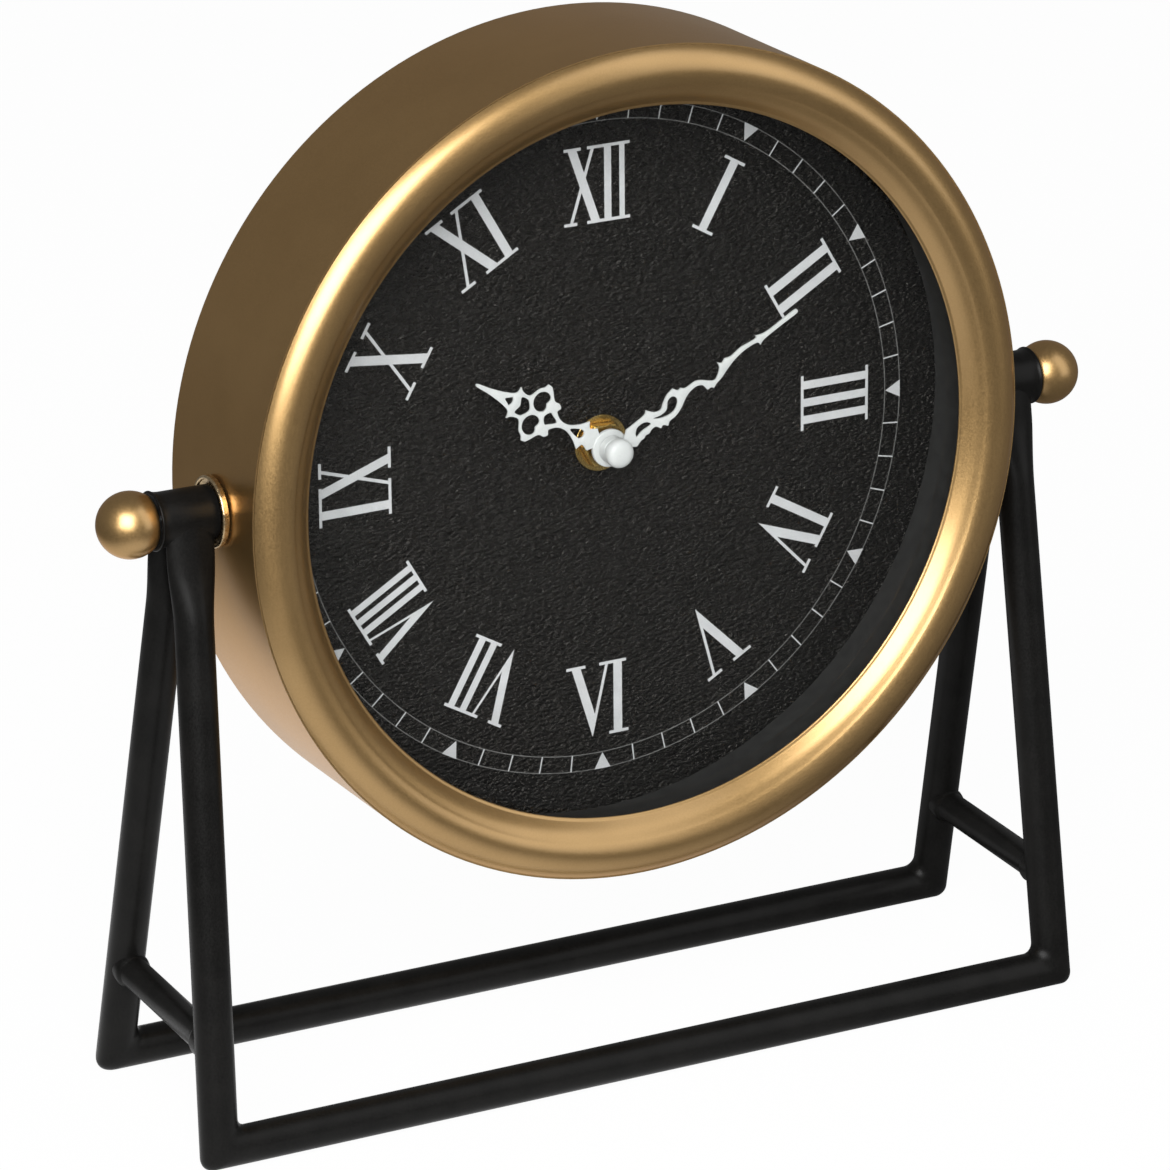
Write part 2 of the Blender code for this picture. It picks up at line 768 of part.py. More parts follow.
def make_case():
    # The sheet drum, turned in at its back to hold the cover
    steps = 2
    round_centre = case_radius - case_rim_round
    profile = [(case_radius, case_front)]
    for index in range(steps + 1):
        angle = math.pi / 2 * index / steps
        profile.append((round_centre + case_rim_round * math.cos(angle),
                        case_rim_round * (1 - math.sin(angle)) - case_back))
    profile.append((case_radius - case_rim_return, -case_back))
    case = add_piece("case_shell", turned_sheet_mesh(profile, drum_sides, case_sheet), gold_paint, drum)
    for side in (-1, 1):
        drill = rod_mesh(bolt_bore, case_inner_radius - overrun, case_radius + overrun, pivot_sides)
        combine(case, drill, "DIFFERENCE", parent=drum, rotation=(0, side * math.pi / 2, 0))


def make_bezel():
    # From the lip over the inner band, the valley and the outer roll to the spigot
    roll_outer = case_radius - bezel_edge
    roll_centre = case_radius - bezel_crest_inset
    roll_base = bezel_crest_depth - bezel_roll_height
    roll_start = case_front + gap
    end = math.asin((roll_start - roll_base) / bezel_roll_height)
    roll_half = (roll_outer - roll_centre) / math.cos(end)
    profile = []
    band_steps = 2
    band_rise = bezel_valley_depth - bezel_lip_depth
    band_width = bezel_valley_radius - bezel_lip_radius
    for index in range(band_steps):
        share = index / band_steps
        bow = math.sin(math.pi * share) / 8
        profile.append((bezel_lip_radius + band_width * share,
                        bezel_lip_depth + band_rise * (share + bow)))
    roll_steps = 6
    start = math.acos((bezel_valley_radius - roll_centre) / roll_half)
    for index in range(roll_steps + 1):
        angle = start + (end - start) * index / roll_steps
        profile.append((roll_centre + roll_half * math.cos(angle),
                        roll_base + bezel_roll_height * math.sin(angle)))
    spigot_radius = case_inner_radius - gap
    profile.append((spigot_radius, roll_start))
    profile.append((spigot_radius, roll_start - bezel_spigot))
    add_piece("bezel_ring", turned_sheet_mesh(profile, drum_sides, bezel_sheet), gold_paint, drum)


def make_front():
    glass = rod_mesh(glass_radius, glass_back, glass_front, ring_sides)
    add_piece("glass_lens", glass, clear_glass, drum)
    outer = spacer_radius + spacer_wall
    flange = spacer_radius + spacer_flange
    high = glass_back - gap
    low = dial_depth + gap
    step = low + spacer_flange_thickness
    profile = [(outer, high), (outer, step), (flange, step), (flange, low),
               (spacer_radius, low), (spacer_radius, high)]
    add_piece("front_spacer_ring", turned_mesh(profile, ring_sides, True), black_paint, drum)
    bore = bush_diameter / 2 + gap
    face = ring_mesh(bore, dial_radius, dial_depth - dial_sheet, dial_depth, ring_sides)
    add_piece("dial_face", face, dial_leather, drum)
    board = ring_mesh(bore, dial_radius, board_back, board_front, hidden_sides)
    add_piece("dial_board", board, black_board, drum)


def make_back():
    ring = ring_mesh(rear_spacer_radius, rear_spacer_radius + rear_spacer_wall, cover_front + gap,
                     board_back - gap, hidden_sides)
    add_piece("rear_spacer_ring", ring, black_board, drum)
    half = cover_opening / 2
    opening = rounded_outline(-half, -half, half, half, cover_opening_round)
    rim = circle_outline(case_radius - case_rim_round, drum_sides)
    add_piece("back_cover", extruded_mesh([rim, opening], cover_rear, cover_front), black_board, drum)


def make_housing():
    outline = rounded_outline(-half_housing, -half_housing, half_housing, half_housing, housing_round)
    case = add_piece("movement_case", extruded_mesh([outline], housing_rear, housing_front),
                     black_plastic, drum)
    bush = rod_mesh(bush_diameter / 2, housing_front - housing_wall / 2, dial_depth + bush_reach,
                    pivot_sides)
    combine(case, bush, "UNION", parent=drum)
    inner = half_housing - housing_wall
    room = box_mesh((-inner, room_bottom, housing_rear - overrun), (inner, inner, room_front))
    combine(case, room, "DIFFERENCE", parent=drum)
    bay = box_mesh((-inner, -inner, housing_rear - overrun), (inner, bay_top, room_front))
    combine(case, bay, "DIFFERENCE", parent=drum)
    bore = rod_mesh(bush_bore / 2, room_front - overrun, dial_depth + bush_reach + overrun, pivot_sides)
    combine(case, bore, "DIFFERENCE", parent=drum)
    lid = rounded_outline(-half_housing, bay_top, half_housing, half_housing, housing_round)
    motion = axis_place(motion_distance, motion_direction)
    stem = circle_outline(motion_arbor_diameter / 2 + gap, pivot_sides, motion)
    add_piece("movement_cover", extruded_mesh([lid, stem], lid_rear, lid_front), black_plastic, drum)


def make_fixings():
    bore = bush_diameter / 2 + gap
    rubber = ring_mesh(bore, rubber_diameter / 2, rubber_front - rubber_thickness, rubber_front,
                       pivot_sides)
    add_piece("rubber_washer", rubber, black_rubber, drum)
    low = dial_depth + gap
    washer = ring_mesh(bore, washer_diameter / 2, low, low + washer_thickness, pivot_sides)
    add_piece("brass_washer", washer, brass, drum)
    low = low + washer_thickness + gap
    high = low + nut_thickness
    corner = nut_across_flats / 2 / math.cos(math.pi / 6)
    flat = extruded_mesh([circle_outline(corner, 6), circle_outline(bore, pivot_sides)], low, high)
    nut = add_piece("hex_nut", flat, brass, drum)
    wide = corner + nut_thickness
    profile = [(0, high + gap), (corner - 2 * nut_chamfer, high + gap),
               (wide, low + nut_chamfer), (wide, low - gap), (0, low - gap)]
    combine(nut, turned_mesh(profile, pivot_sides, False), "INTERSECT", parent=drum)


def axis_place(distance, direction, origin=(0, 0)):
    return (origin[0] + distance * math.cos(direction), origin[1] + distance * math.sin(direction))


def train_axis(name, place, turn):
    return add_empty(name, drum, (place[0], place[1], 0), (0, 0, turn))


def add_wheel(name, axis, finish, arbor_radius, arbor_low, arbor_high, gears):
    # An arbor with its toothed wheels and pinions fused on
    arbor = add_piece(name, rod_mesh(arbor_radius, arbor_low, arbor_high, train_sides), finish, axis)
    for mesh, turn in gears:
        combine(arbor, mesh, "UNION", parent=axis, rotation=(0, 0, turn))
    return arbor


def make_motion_work():
    # The minute arbor's cannon pinion drives the motion wheel, whose pinion drives the hour wheel
    minute = train_axis("minute_axis", (0, 0), -minute_hand_angle)
    cannon_turn = 0
    motion_turn = mesh_turn(motion_direction, cannon_turn, cannon_teeth, motion_teeth)
    hour_turn = mesh_turn(motion_direction + math.pi, motion_turn, motion_pinion_teeth, hour_teeth)
    cannon = gear_mesh(cannon_teeth, motion_module, motion_level, pinion_thickness)
    add_wheel("cannon_arbor", minute, steel, minute_arbor_diameter / 2,
              housing_front - centre_level + gap, dial_depth + minute_arbor_reach,
              [(cannon, cannon_turn + minute_hand_angle)])
    place = axis_place(motion_distance, motion_direction)
    motion = train_axis("motion_axis", place, motion_turn)
    wheel = gear_mesh(motion_teeth, motion_module, motion_level + gap, wheel_thickness)
    pinion = gear_mesh(motion_pinion_teeth, hour_module, hour_level, motion_level + 2 * gap - hour_level)
    setting_low = lid_rear - gap - setting_height
    add_wheel("motion_wheel", motion, white_plastic, motion_arbor_diameter / 2,
              setting_low + gap, room_front - gap, [(wheel, 0), (pinion, 0)])
    hour = train_axis("hour_axis", (0, 0), -hour_hand_angle)
    pipe = hour_pipe_diameter / 2
    bore = minute_arbor_diameter / 2 + fine_gap
    low = housing_front - hour_level - wheel_thickness
    high = dial_depth + hour_pipe_reach
    wheel = add_piece("hour_wheel", rod_mesh(pipe, low + gap, high, arbor_sides), white_plastic, hour)
    gear = gear_mesh(hour_teeth, hour_module, hour_level, wheel_thickness)
    combine(wheel, gear, "UNION", parent=hour, rotation=(0, 0, hour_turn + hour_hand_angle))
    drill = rod_mesh(bore, low - overrun, high + overrun, arbor_sides)
    combine(wheel, drill, "DIFFERENCE", parent=hour)
    make_setting_knob(motion, setting_low)


def make_setting_knob(axis, low):
    radius = setting_diameter / 2
    rim = []
    for index in range(setting_ridges):
        for offset, reach in ((0, radius), (0.5, radius), (0.55, radius - setting_ridge),
                              (0.95, radius - setting_ridge)):
            angle = 2 * math.pi * (index + offset) / setting_ridges
            rim.append((reach * math.cos(angle), reach * math.sin(angle)))
    bore = circle_outline(motion_arbor_diameter / 2 + fine_gap, pivot_sides)
    mesh = extruded_mesh([rim, bore], low, low + setting_height)
    add_piece("setting_knob", mesh, black_plastic, axis)


def make_going_train():
    # From the centre wheel through the third, seconds and intermediate wheels to the rotor
    pinion_teeth = train_pinion_teeth
    arbor = train_arbor_diameter / 2
    top = room_front - gap
    centre_turn = 0
    centre = train_axis("centre_axis", (0, 0), 0)
    mesh = gear_mesh(centre_teeth, centre_module, centre_level, wheel_thickness)
    add_wheel("centre_wheel", centre, brass, arbor, arbor_rear, housing_front - centre_level - gap,
              [(mesh, centre_turn)])
    chain = (
        ("third_wheel", centre_module, centre_teeth, centre_level, third_direction,
         third_module, third_teeth, third_level),
        ("seconds_wheel", third_module, third_teeth, third_level, seconds_direction,
         seconds_module, seconds_teeth, seconds_level),
        ("intermediate_wheel", seconds_module, seconds_teeth, seconds_level, step_direction,
         step_module, step_teeth, step_level),
    )
    place = (0, 0)
    turn = centre_turn
    for name, lead_module, lead_teeth, lead_level, direction, module, teeth, level in chain:
        place = axis_place(lead_module * (lead_teeth + pinion_teeth) / 2, direction, place)
        turn = mesh_turn(direction, turn, lead_teeth, pinion_teeth)
        axis = train_axis(name + "_axis", place, turn)
        extra = (pinion_thickness - wheel_thickness) / 2
        reach = level + wheel_thickness - lead_level
        pinion = gear_mesh(pinion_teeth, lead_module, lead_level - extra, reach)
        wheel = gear_mesh(teeth, module, level, wheel_thickness)
        add_wheel(name, axis, white_plastic, arbor, arbor_rear, top, [(pinion, 0), (wheel, 0)])
    make_rotor(axis_place(step_module * (step_teeth + pinion_teeth) / 2, rotor_direction, place), turn, top)


def make_rotor(place, lead_turn, top):
    turn = mesh_turn(rotor_direction, lead_turn, step_teeth, train_pinion_teeth)
    axis = train_axis("rotor_axis", place, turn)
    pinion = gear_mesh(train_pinion_teeth, step_module, step_level - gap, pinion_thickness)
    high = housing_front - rotor_level
    magnet = rod_mesh(rotor_diameter / 2, high - rotor_height, high, arbor_sides)
    add_wheel("rotor", axis, steel, train_arbor_diameter / 2, arbor_rear, top, [(magnet, 0), (pinion, 0)])
    make_motor(place)


def make_motor(place):
    # Stator round the rotor, and the coil that drives it
    hole_radius = rotor_diameter / 2 + stator_gap
    step_distance = step_module * (step_teeth + train_pinion_teeth) / 2
    body = step_distance - train_arbor_diameter / 2 - gap
    high = housing_front - stator_level
    low = high - stator_thickness
    coil_offset = half_housing - housing_wall - coil_margin - bobbin_diameter / 2
    coil_length = housing_width * coil_length_share
    coil_centre = housing_width * coil_centre_share
    coil_low = coil_centre - coil_length / 2
    coil_high = coil_centre + coil_length / 2
    arm = stator_arm
    outline = [
        (place[0] - body, place[1] - body / 2), (place[0] - body / 2, place[1] - body),
        (place[0] + body / 2, place[1] - body), (coil_offset - arm, coil_low - arm),
        (coil_offset + arm, coil_low - arm), (coil_offset + arm, coil_low),
        (coil_offset - arm / 2, coil_low), (place[0] + body, place[1] - body / 4),
        (place[0] + body, place[1] + body / 4), (coil_offset - arm / 2, coil_high),
        (coil_offset + arm, coil_high), (coil_offset + arm, coil_high + arm),
        (coil_offset - arm, coil_high + arm), (place[0] + body / 2, place[1] + body),
        (place[0] - body / 4, place[1] + body), (place[0] - body, place[1] + body / 2),
    ]
    hole = circle_outline(hole_radius, pivot_sides, place)
    add_piece("stator_plate", extruded_mesh([outline, hole], low, high), steel, drum)
    half = coil_length / 2 - gap
    core = bobbin_core / 2
    flange = bobbin_diameter / 2
    profile = [(0, half), (flange, half), (flange, half - bobbin_flange), (core, half - bobbin_flange),
               (core, bobbin_flange - half), (flange, bobbin_flange - half), (flange, -half), (0, -half)]
    depth = high + gap + flange
    coil = add_empty("coil_axis", drum, (coil_offset, coil_centre, depth), (math.pi / 2, 0, 0))
    add_piece("coil_bobbin", turned_mesh(profile, pivot_sides, False), white_plastic, coil)
    wound = half - bobbin_flange - gap
    winding = ring_mesh(core + fine_gap, coil_diameter / 2, -wound, wound, pivot_sides)
    add_piece("coil_winding", winding, copper_wire, coil)


def make_electronics():
    inner = half_housing - housing_wall - gap
    low_x = -inner
    high_x = low_x + board_width
    low_y = room_bottom + gap
    high_y = inner - board_margin
    high = housing_front - circuit_level
    low = high - circuit_thickness
    board = extruded_mesh([rounded_outline(low_x, low_y, high_x, high_y, housing_wall / 2)], low, high)
    add_piece("circuit_board", board, green_board, drum)
    crystal = rod_mesh(crystal_diameter / 2, -crystal_length / 2, crystal_length / 2, arbor_sides)
    add_piece("quartz_crystal", crystal, steel, drum,
              ((low_x + high_x) / 2, high_y - crystal_length, high + gap + crystal_diameter / 2),
              (math.pi / 2, 0, 0))


def make_battery():
    # The cell lies across the bottom of the housing, with a sprung contact at each end
    half = cell_length / 2
    radius = cell_diameter / 2
    nub = cell_nub_diameter / 2
    profile = [(0, half + cell_nub_length), (nub, half + cell_nub_length), (nub, half),
               (radius - edge_ease, half), (radius, half - edge_ease), (radius, edge_ease - half),
               (radius - edge_ease, -half), (0, -half)]
    mesh = turned_mesh(profile, pivot_sides, False)
    mesh.transform(Matrix.Translation((0, 0, -cell_nub_length / 2)))
    centre = (0, cell_offset, cell_depth)
    add_piece("battery_cell", mesh, cell_jacket, drum, centre, (0, math.pi / 2, 0))
    reach = half + cell_nub_length / 2
    wall = half_housing - housing_wall
    for name, side in (("negative_contact", -1), ("positive_contact", 1)):
        near = side * (reach + gap)
        far = side * (wall - gap)
        thick = side * contact_thickness
        low = cell_depth - contact_height / 2
        high = cell_depth + contact_height / 2
        bend = contact_height / 3
        strip = [(far, low), (near + thick, low + bend), (near + thick, high - bend), (far, high),
                 (far - thick, high), (near, high - bend), (near, low + bend), (far - thick, low)]
        mesh = extruded_mesh([strip], -contact_width / 2, contact_width / 2)
        add_piece(name, mesh, steel, drum, (0, cell_offset, 0), (math.pi / 2, 0, 0))


def ring_hole_outline(length, side):
    # A round hole that a small knob on the hub side dents inwards
    outline = []
    steps = 12
    for index in range(steps):
        angle = 2 * math.pi * index / steps
        dent = max(0, math.cos(angle + math.pi / 2)) ** 8
        radius = hour_ring_hole_share * length * (1 - hour_ring_knob_share * dent)
        outline.append((side * hour_ring_side_share * length + radius * math.cos(angle),
                        hour_ring_along_share * length + radius * math.sin(angle)))
    return outline


def add_hand(name, axis, outline, holes, low, collet_radius, collet_low, collet_high, bore_radius):
    # A flat blade fused to the turned collet that grips its arbor
    plate = extruded_mesh([outline, *holes], low, low + hand_thickness)
    collet = rod_mesh(collet_radius, collet_low, collet_high, pivot_sides)
    hand = add_piece(name, plate, white_paint, axis)
    combine(hand, collet, "UNION", parent=axis)
    bore = rod_mesh(bore_radius, collet_low - overrun, collet_high + overrun, pivot_sides)
    combine(hand, bore, "DIFFERENCE", parent=axis)


def make_hands():
    # The blades sit mid-way up their collets, so no two faces of the fused shapes are flush
    minute_axis = bpy.data.objects["minute_axis"]
    hour_axis = bpy.data.objects["hour_axis"]
    half = hand_points(hour_half_shares, hour_hand_length)
    other = [(-x, y, thorn) for x, y, thorn in reversed(half[1:])]
    outline = smooth_outline(half + other)
    holes = [smooth_outline(hole_points(hole, hour_hand_length)) for hole in hour_hole_shares]
    holes += [ring_hole_outline(hour_hand_length, side) for side in (-1, 1)]
    low = dial_depth + hour_hand_reach
    add_hand("hour_hand", hour_axis, outline, holes, low + fine_gap, hour_collet_diameter / 2, low,
             low + hour_collet_height, hour_pipe_diameter / 2 + fine_gap)
    outline = smooth_outline(hand_points(minute_left_shares + minute_right_shares, minute_hand_length))
    holes = [smooth_outline(hole_points(hole, minute_hand_length)) for hole in minute_hole_shares]
    low = dial_depth + minute_hand_reach
    add_hand("minute_hand", minute_axis, outline, holes, low, minute_collet_diameter / 2,
             low - minute_collet_height, low + hand_thickness + fine_gap,
             minute_arbor_diameter / 2 + fine_gap)
    top = low + hand_thickness + fine_gap + gap
    radius = cap_diameter / 2
    bore = minute_arbor_diameter / 2 + fine_gap
    tip = dial_depth + minute_arbor_reach + gap
    peak = top + cap_height
    profile = [(0, peak), (radius / 2, peak - edge_ease), (radius - edge_ease, peak - 3 * edge_ease),
               (radius, peak - 5 * edge_ease), (radius, top), (bore, top), (bore, tip), (0, tip)]
    add_piece("hand_cap", turned_mesh(profile, pivot_sides, False), white_paint, minute_axis)


clear_scene()
parts = make_collection("table_clock")
cutters = make_collection("cutters")
drum = add_empty("drum", location=(0, 0, pivot_height), rotation=(math.pi / 2 - case_tilt, 0, 0))
make_stand()
make_case()
make_bezel()
make_front()
make_back()
make_housing()
make_fixings()
make_motion_work()
make_going_train()
make_electronics()
make_battery()
make_hands()
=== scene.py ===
import json
import math

import bmesh
import bpy
from mathutils import Matrix, Vector

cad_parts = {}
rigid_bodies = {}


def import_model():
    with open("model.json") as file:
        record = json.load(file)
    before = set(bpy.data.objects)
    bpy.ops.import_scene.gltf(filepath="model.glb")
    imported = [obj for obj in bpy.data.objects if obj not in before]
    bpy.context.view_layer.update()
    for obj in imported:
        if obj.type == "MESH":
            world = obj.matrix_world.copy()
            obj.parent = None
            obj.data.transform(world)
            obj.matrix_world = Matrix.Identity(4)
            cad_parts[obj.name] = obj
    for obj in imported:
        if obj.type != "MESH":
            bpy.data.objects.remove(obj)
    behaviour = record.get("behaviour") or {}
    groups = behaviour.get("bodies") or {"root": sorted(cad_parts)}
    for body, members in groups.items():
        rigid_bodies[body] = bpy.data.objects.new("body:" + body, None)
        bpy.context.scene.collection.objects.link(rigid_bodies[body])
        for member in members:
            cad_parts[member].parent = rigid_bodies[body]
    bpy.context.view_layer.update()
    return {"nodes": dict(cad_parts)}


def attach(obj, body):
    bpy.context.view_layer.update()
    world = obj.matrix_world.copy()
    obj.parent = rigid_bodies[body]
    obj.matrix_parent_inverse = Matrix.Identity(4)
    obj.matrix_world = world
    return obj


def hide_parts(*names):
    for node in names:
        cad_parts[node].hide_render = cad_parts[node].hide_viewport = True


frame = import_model()

mm = 0.001
degree = math.pi / 180
mergeGap = 0.002 * mm

# Where the drum hangs: the height of its middle and how far it leans back
drumSeat = {"height": 163.9, "lean": 2.3}

# How many sides turned pieces have, by their size
turnedSides = {"large": 192, "ball": 128, "middling": 96, "small": 64}


def clearSelection():
    if bpy.context.object and bpy.context.object.mode != "OBJECT":
        leaveMesh()
    bpy.ops.object.select_all(action="DESELECT")


def chooseOnly(piece):
    clearSelection()
    piece.select_set(True)
    bpy.context.view_layer.objects.active = piece


def startPiece(name):
    # An empty mesh in edit mode, ready to be drawn in
    clearSelection()
    bpy.ops.mesh.primitive_plane_add(size=mm)
    piece = bpy.context.object
    piece.name = name
    piece.data.name = name
    bpy.ops.object.mode_set(mode="EDIT")
    bpy.ops.mesh.delete(type="VERT")
    return piece


def leaveMesh():
    bpy.ops.object.mode_set(mode="OBJECT")


def pickAll():
    bpy.ops.mesh.select_all(action="SELECT")


def pickNone():
    bpy.ops.mesh.select_all(action="DESELECT")


def pull(step):
    bpy.ops.mesh.extrude_region_move(TRANSFORM_OT_translate={"value": step})


def faceOut():
    bpy.ops.mesh.normals_make_consistent(inside=False)


def drawLine(points):
    # A plane merged to one corner, then pulled on from point to point
    bpy.ops.mesh.primitive_plane_add(size=mm)
    bpy.ops.mesh.merge(type="CENTER")
    bpy.ops.transform.translate(value=Vector(points[0]) * mm)
    for start, end in zip(points, points[1:]):
        pull((Vector(end) - Vector(start)) * mm)
    bpy.ops.mesh.select_linked()
    bpy.ops.mesh.remove_doubles(threshold=mergeGap)


def drawPatch(points, thickness):
    # A closed outline on the XY plane, filled and pulled up
    drawLine([*points, points[0]])
    bpy.ops.mesh.edge_face_add()
    pull((0, 0, thickness * mm))
    bpy.ops.mesh.select_linked()
    faceOut()


def turnPiece(name, outline, sides="large", closed=True):
    # An outline of radius and height, spun about Z
    piece = startPiece(name)
    points = [(radius, 0, height) for radius, height in outline]
    drawLine([*points, points[0]] if closed else points)
    pickAll()
    bpy.ops.mesh.spin(steps=turnedSides[sides], angle=2 * math.pi, center=(0, 0, 0), axis=(0, 0, 1))
    pickAll()
    bpy.ops.mesh.remove_doubles(threshold=mergeGap)
    faceOut()
    leaveMesh()
    return piece


def arc(radius, height, wide, high, start, end, steps):
    # Points round part of an ellipse, from one angle in degrees to another
    turns = [(start + (end - start) * index / steps) * degree for index in range(steps + 1)]
    return [(radius + wide * math.cos(turn), height + high * math.sin(turn)) for turn in turns]


def roundLoop(sides, radiusAt, x=0, y=0):
    # A closed loop whose radius may change on its way round
    turns = [2 * math.pi * index / sides for index in range(sides)]
    return [(x + radiusAt(turn) * math.cos(turn), y + radiusAt(turn) * math.sin(turn), 0)
            for turn in turns]


def smoothLoop(points, steps=5):
    # Curved between its points and straight at its thorns
    loop = []
    for index, start in enumerate(points):
        before = points[index - 1]
        end = points[(index + 1) % len(points)]
        after = points[(index + 2) % len(points)]
        leave = Vector((0, 0)) if start[2] else (Vector(end[:2]) - Vector(before[:2])) / 2
        arrive = Vector((0, 0)) if end[2] else (Vector(after[:2]) - Vector(start[:2])) / 2
        for step in range(steps):
            t = step / steps
            place = (2 * t**3 - 3 * t**2 + 1) * Vector(start[:2]) + (t**3 - 2 * t**2 + t) * leave
            place += (3 * t**2 - 2 * t**3) * Vector(end[:2]) + (t**3 - t**2) * arrive
            loop.append((place.x, place.y, 0))
    return loop


def sheetOutline(outer, wall):
    # Goes back along an open outline at a sheet's thickness on its right-hand side
    inner = []
    for index, point in enumerate(outer):
        before = Vector(outer[max(index - 1, 0)])
        after = Vector(outer[min(index + 1, len(outer) - 1)])
        along = (after - before).normalized()
        inner.append((point[0] + along.y * wall, point[1] - along.x * wall))
    return [*outer, *reversed(inner)]


def runModifier(piece, kind, settings):
    chooseOnly(piece)
    modifier = piece.modifiers.new(kind.lower(), kind)
    for key, value in settings.items():
        setattr(modifier, key, value)
    bpy.ops.object.modifier_apply(modifier=modifier.name)


def softenEdges(piece, width, angle):
    runModifier(piece, "BEVEL", {"width": width * mm, "segments": 2, "limit_method": "ANGLE",
                                 "angle_limit": angle * degree, "harden_normals": False})


def cutWith(piece, tool, operation="DIFFERENCE"):
    runModifier(piece, "BOOLEAN", {"operation": operation, "object": tool, "solver": "EXACT"})
    bpy.data.objects.remove(tool, do_unlink=True)


def drillAcross(piece, radius, length, sides, x=0, z=0):
    # A round hole along X
    bpy.ops.mesh.primitive_cylinder_add(vertices=sides, radius=radius * mm, depth=length * mm,
                                        location=(x * mm, 0, z * mm), rotation=(0, math.pi / 2, 0))
    cutWith(piece, bpy.context.object)


def placePiece(piece, location=(0, 0, 0), rotation=(0, 0, 0)):
    chooseOnly(piece)
    piece.location = Vector(location) * mm
    piece.rotation_euler = [turn * degree for turn in rotation]
    bpy.ops.object.transform_apply(location=True, rotation=True, scale=True)


def makePlate(name, loops, bottom, thickness, edge):
    # The outline and its holes are drawn, filled in one go, thickened and eased
    plate = startPiece(name)
    for loop in loops:
        pickNone()
        drawLine([*loop, loop[0]])
    pickAll()
    bpy.ops.mesh.fill(use_beauty=True)
    pickAll()
    pull((0, 0, thickness * mm))
    pickAll()
    faceOut()
    leaveMesh()
    softenEdges(plate, edge, 60)
    placePiece(plate, (0, 0, bottom))
    return plate


def finishPiece(piece, body, material, replaced=(), angle=35):
    chooseOnly(piece)
    bpy.ops.object.shade_smooth_by_angle(angle=angle * degree)
    piece.data.materials.clear()
    piece.data.materials.append(material)
    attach(piece, body)
    if replaced:
        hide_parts(*replaced)


def finishOnDrum(piece, body, material, replaced=(), angle=35, turn=0, location=(0, 0, 0)):
    # From the drum's own frame, with Z towards the viewer, into the clock's frame
    placePiece(piece, location, (0, 0, turn))
    placePiece(piece, (0, 0, drumSeat["height"]), (90 - drumSeat["lean"], 0, 0))
    finishPiece(piece, body, material, replaced, angle)


def newMaterial(name):
    material = bpy.data.materials.new(name)
    material.use_nodes = True
    return material, material.node_tree.nodes["Principled BSDF"]


def setSockets(owner, node, sources):
    # A socket takes a plain value or another node's output
    for socket, source in sources.items():
        if hasattr(source, "node"):
            owner.node_tree.links.new(source, node.inputs[socket])
        else:
            node.inputs[socket].default_value = source


def addNode(owner, kind, sources=None, **values):
    node = owner.node_tree.nodes.new(kind)
    for key, value in values.items():
        setattr(node, key, value)
    setSockets(owner, node, sources or {})
    return node


def addMath(owner, operation, first, second):
    return addNode(owner, "ShaderNodeMath", {0: first, 1: second}, operation=operation).outputs[0]


def surfacePoints(material, stretch=(1, 1, 1), centre=(0, 0, 0)):
    # Object coordinates counted in millimetres
    place = addNode(material, "ShaderNodeTexCoord")
    return addNode(material, "ShaderNodeMapping", {
        "Vector": place.outputs["Object"], "Scale": [value / mm for value in stretch], "Location": centre,
    }).outputs["Vector"]


def noiseOn(material, points, size, detail=2.0, roughness=0.5):
    return addNode(material, "ShaderNodeTexNoise", {
        "Vector": points, "Scale": 1 / size, "Detail": detail, "Roughness": roughness,
    }).outputs["Fac"]


def blendColours(material, factor, first, second):
    return addNode(material, "ShaderNodeMix", {0: factor, 6: (*first, 1), 7: (*second, 1)},
                   data_type="RGBA").outputs[2]


def spread(owner, value, low, high, newLow, newHigh):
    return addNode(owner, "ShaderNodeMapRange", {
        "Value": value, "From Min": low, "From Max": high, "To Min": newLow, "To Max": newHigh,
    }).outputs["Result"]


def addBump(material, shader, height, look):
    bump = addNode(material, "ShaderNodeBump", {"Height": height, "Strength": look["bump"],
                                                "Distance": look["relief"] * mm})
    setSockets(material, shader, {"Normal": bump.outputs["Normal"]})


def mixSurfaces(material, share, first, second):
    blend = addNode(material, "ShaderNodeMixShader", {0: share, 1: first.outputs[0], 2: second.outputs[0]})
    setSockets(material, material.node_tree.nodes["Material Output"], {"Surface": blend.outputs[0]})


# A noise keeps to the middle of its range, and so does the sum of two
noiseBand = (0.3, 0.7)
sumBand = (0.75, 1.25)


def makePaint(name, look):
    # A sprayed or moulded finish: cloudy colour, fine grain in gloss and height
    material, shader = newMaterial(name)
    points = surfacePoints(material, look.get("stretch", (1, 1, 1)))
    cloud = noiseOn(material, points, look["cloud"], 3.0)
    grain = noiseOn(material, points, look["grain"], 2.0, 0.6)
    factor = spread(material, addMath(material, "ADD", cloud, grain), *sumBand, 0.0, 1.0)
    setSockets(material, shader, {
        "Base Color": blendColours(material, factor, look["dark"], look["light"]),
        "Roughness": spread(material, grain, *noiseBand, *look["rough"]),
        "Metallic": look.get("metallic", 0.0),
        "Coat Weight": look.get("coat", 0.0),
        "Coat Roughness": look.get("coatRough", 0.3),
        "Specular IOR Level": look.get("specular", 0.5),
        "Specular Tint": (*look.get("edge", (1.0, 1.0, 1.0)), 1),
    })
    addBump(material, shader, grain, look)
    return material


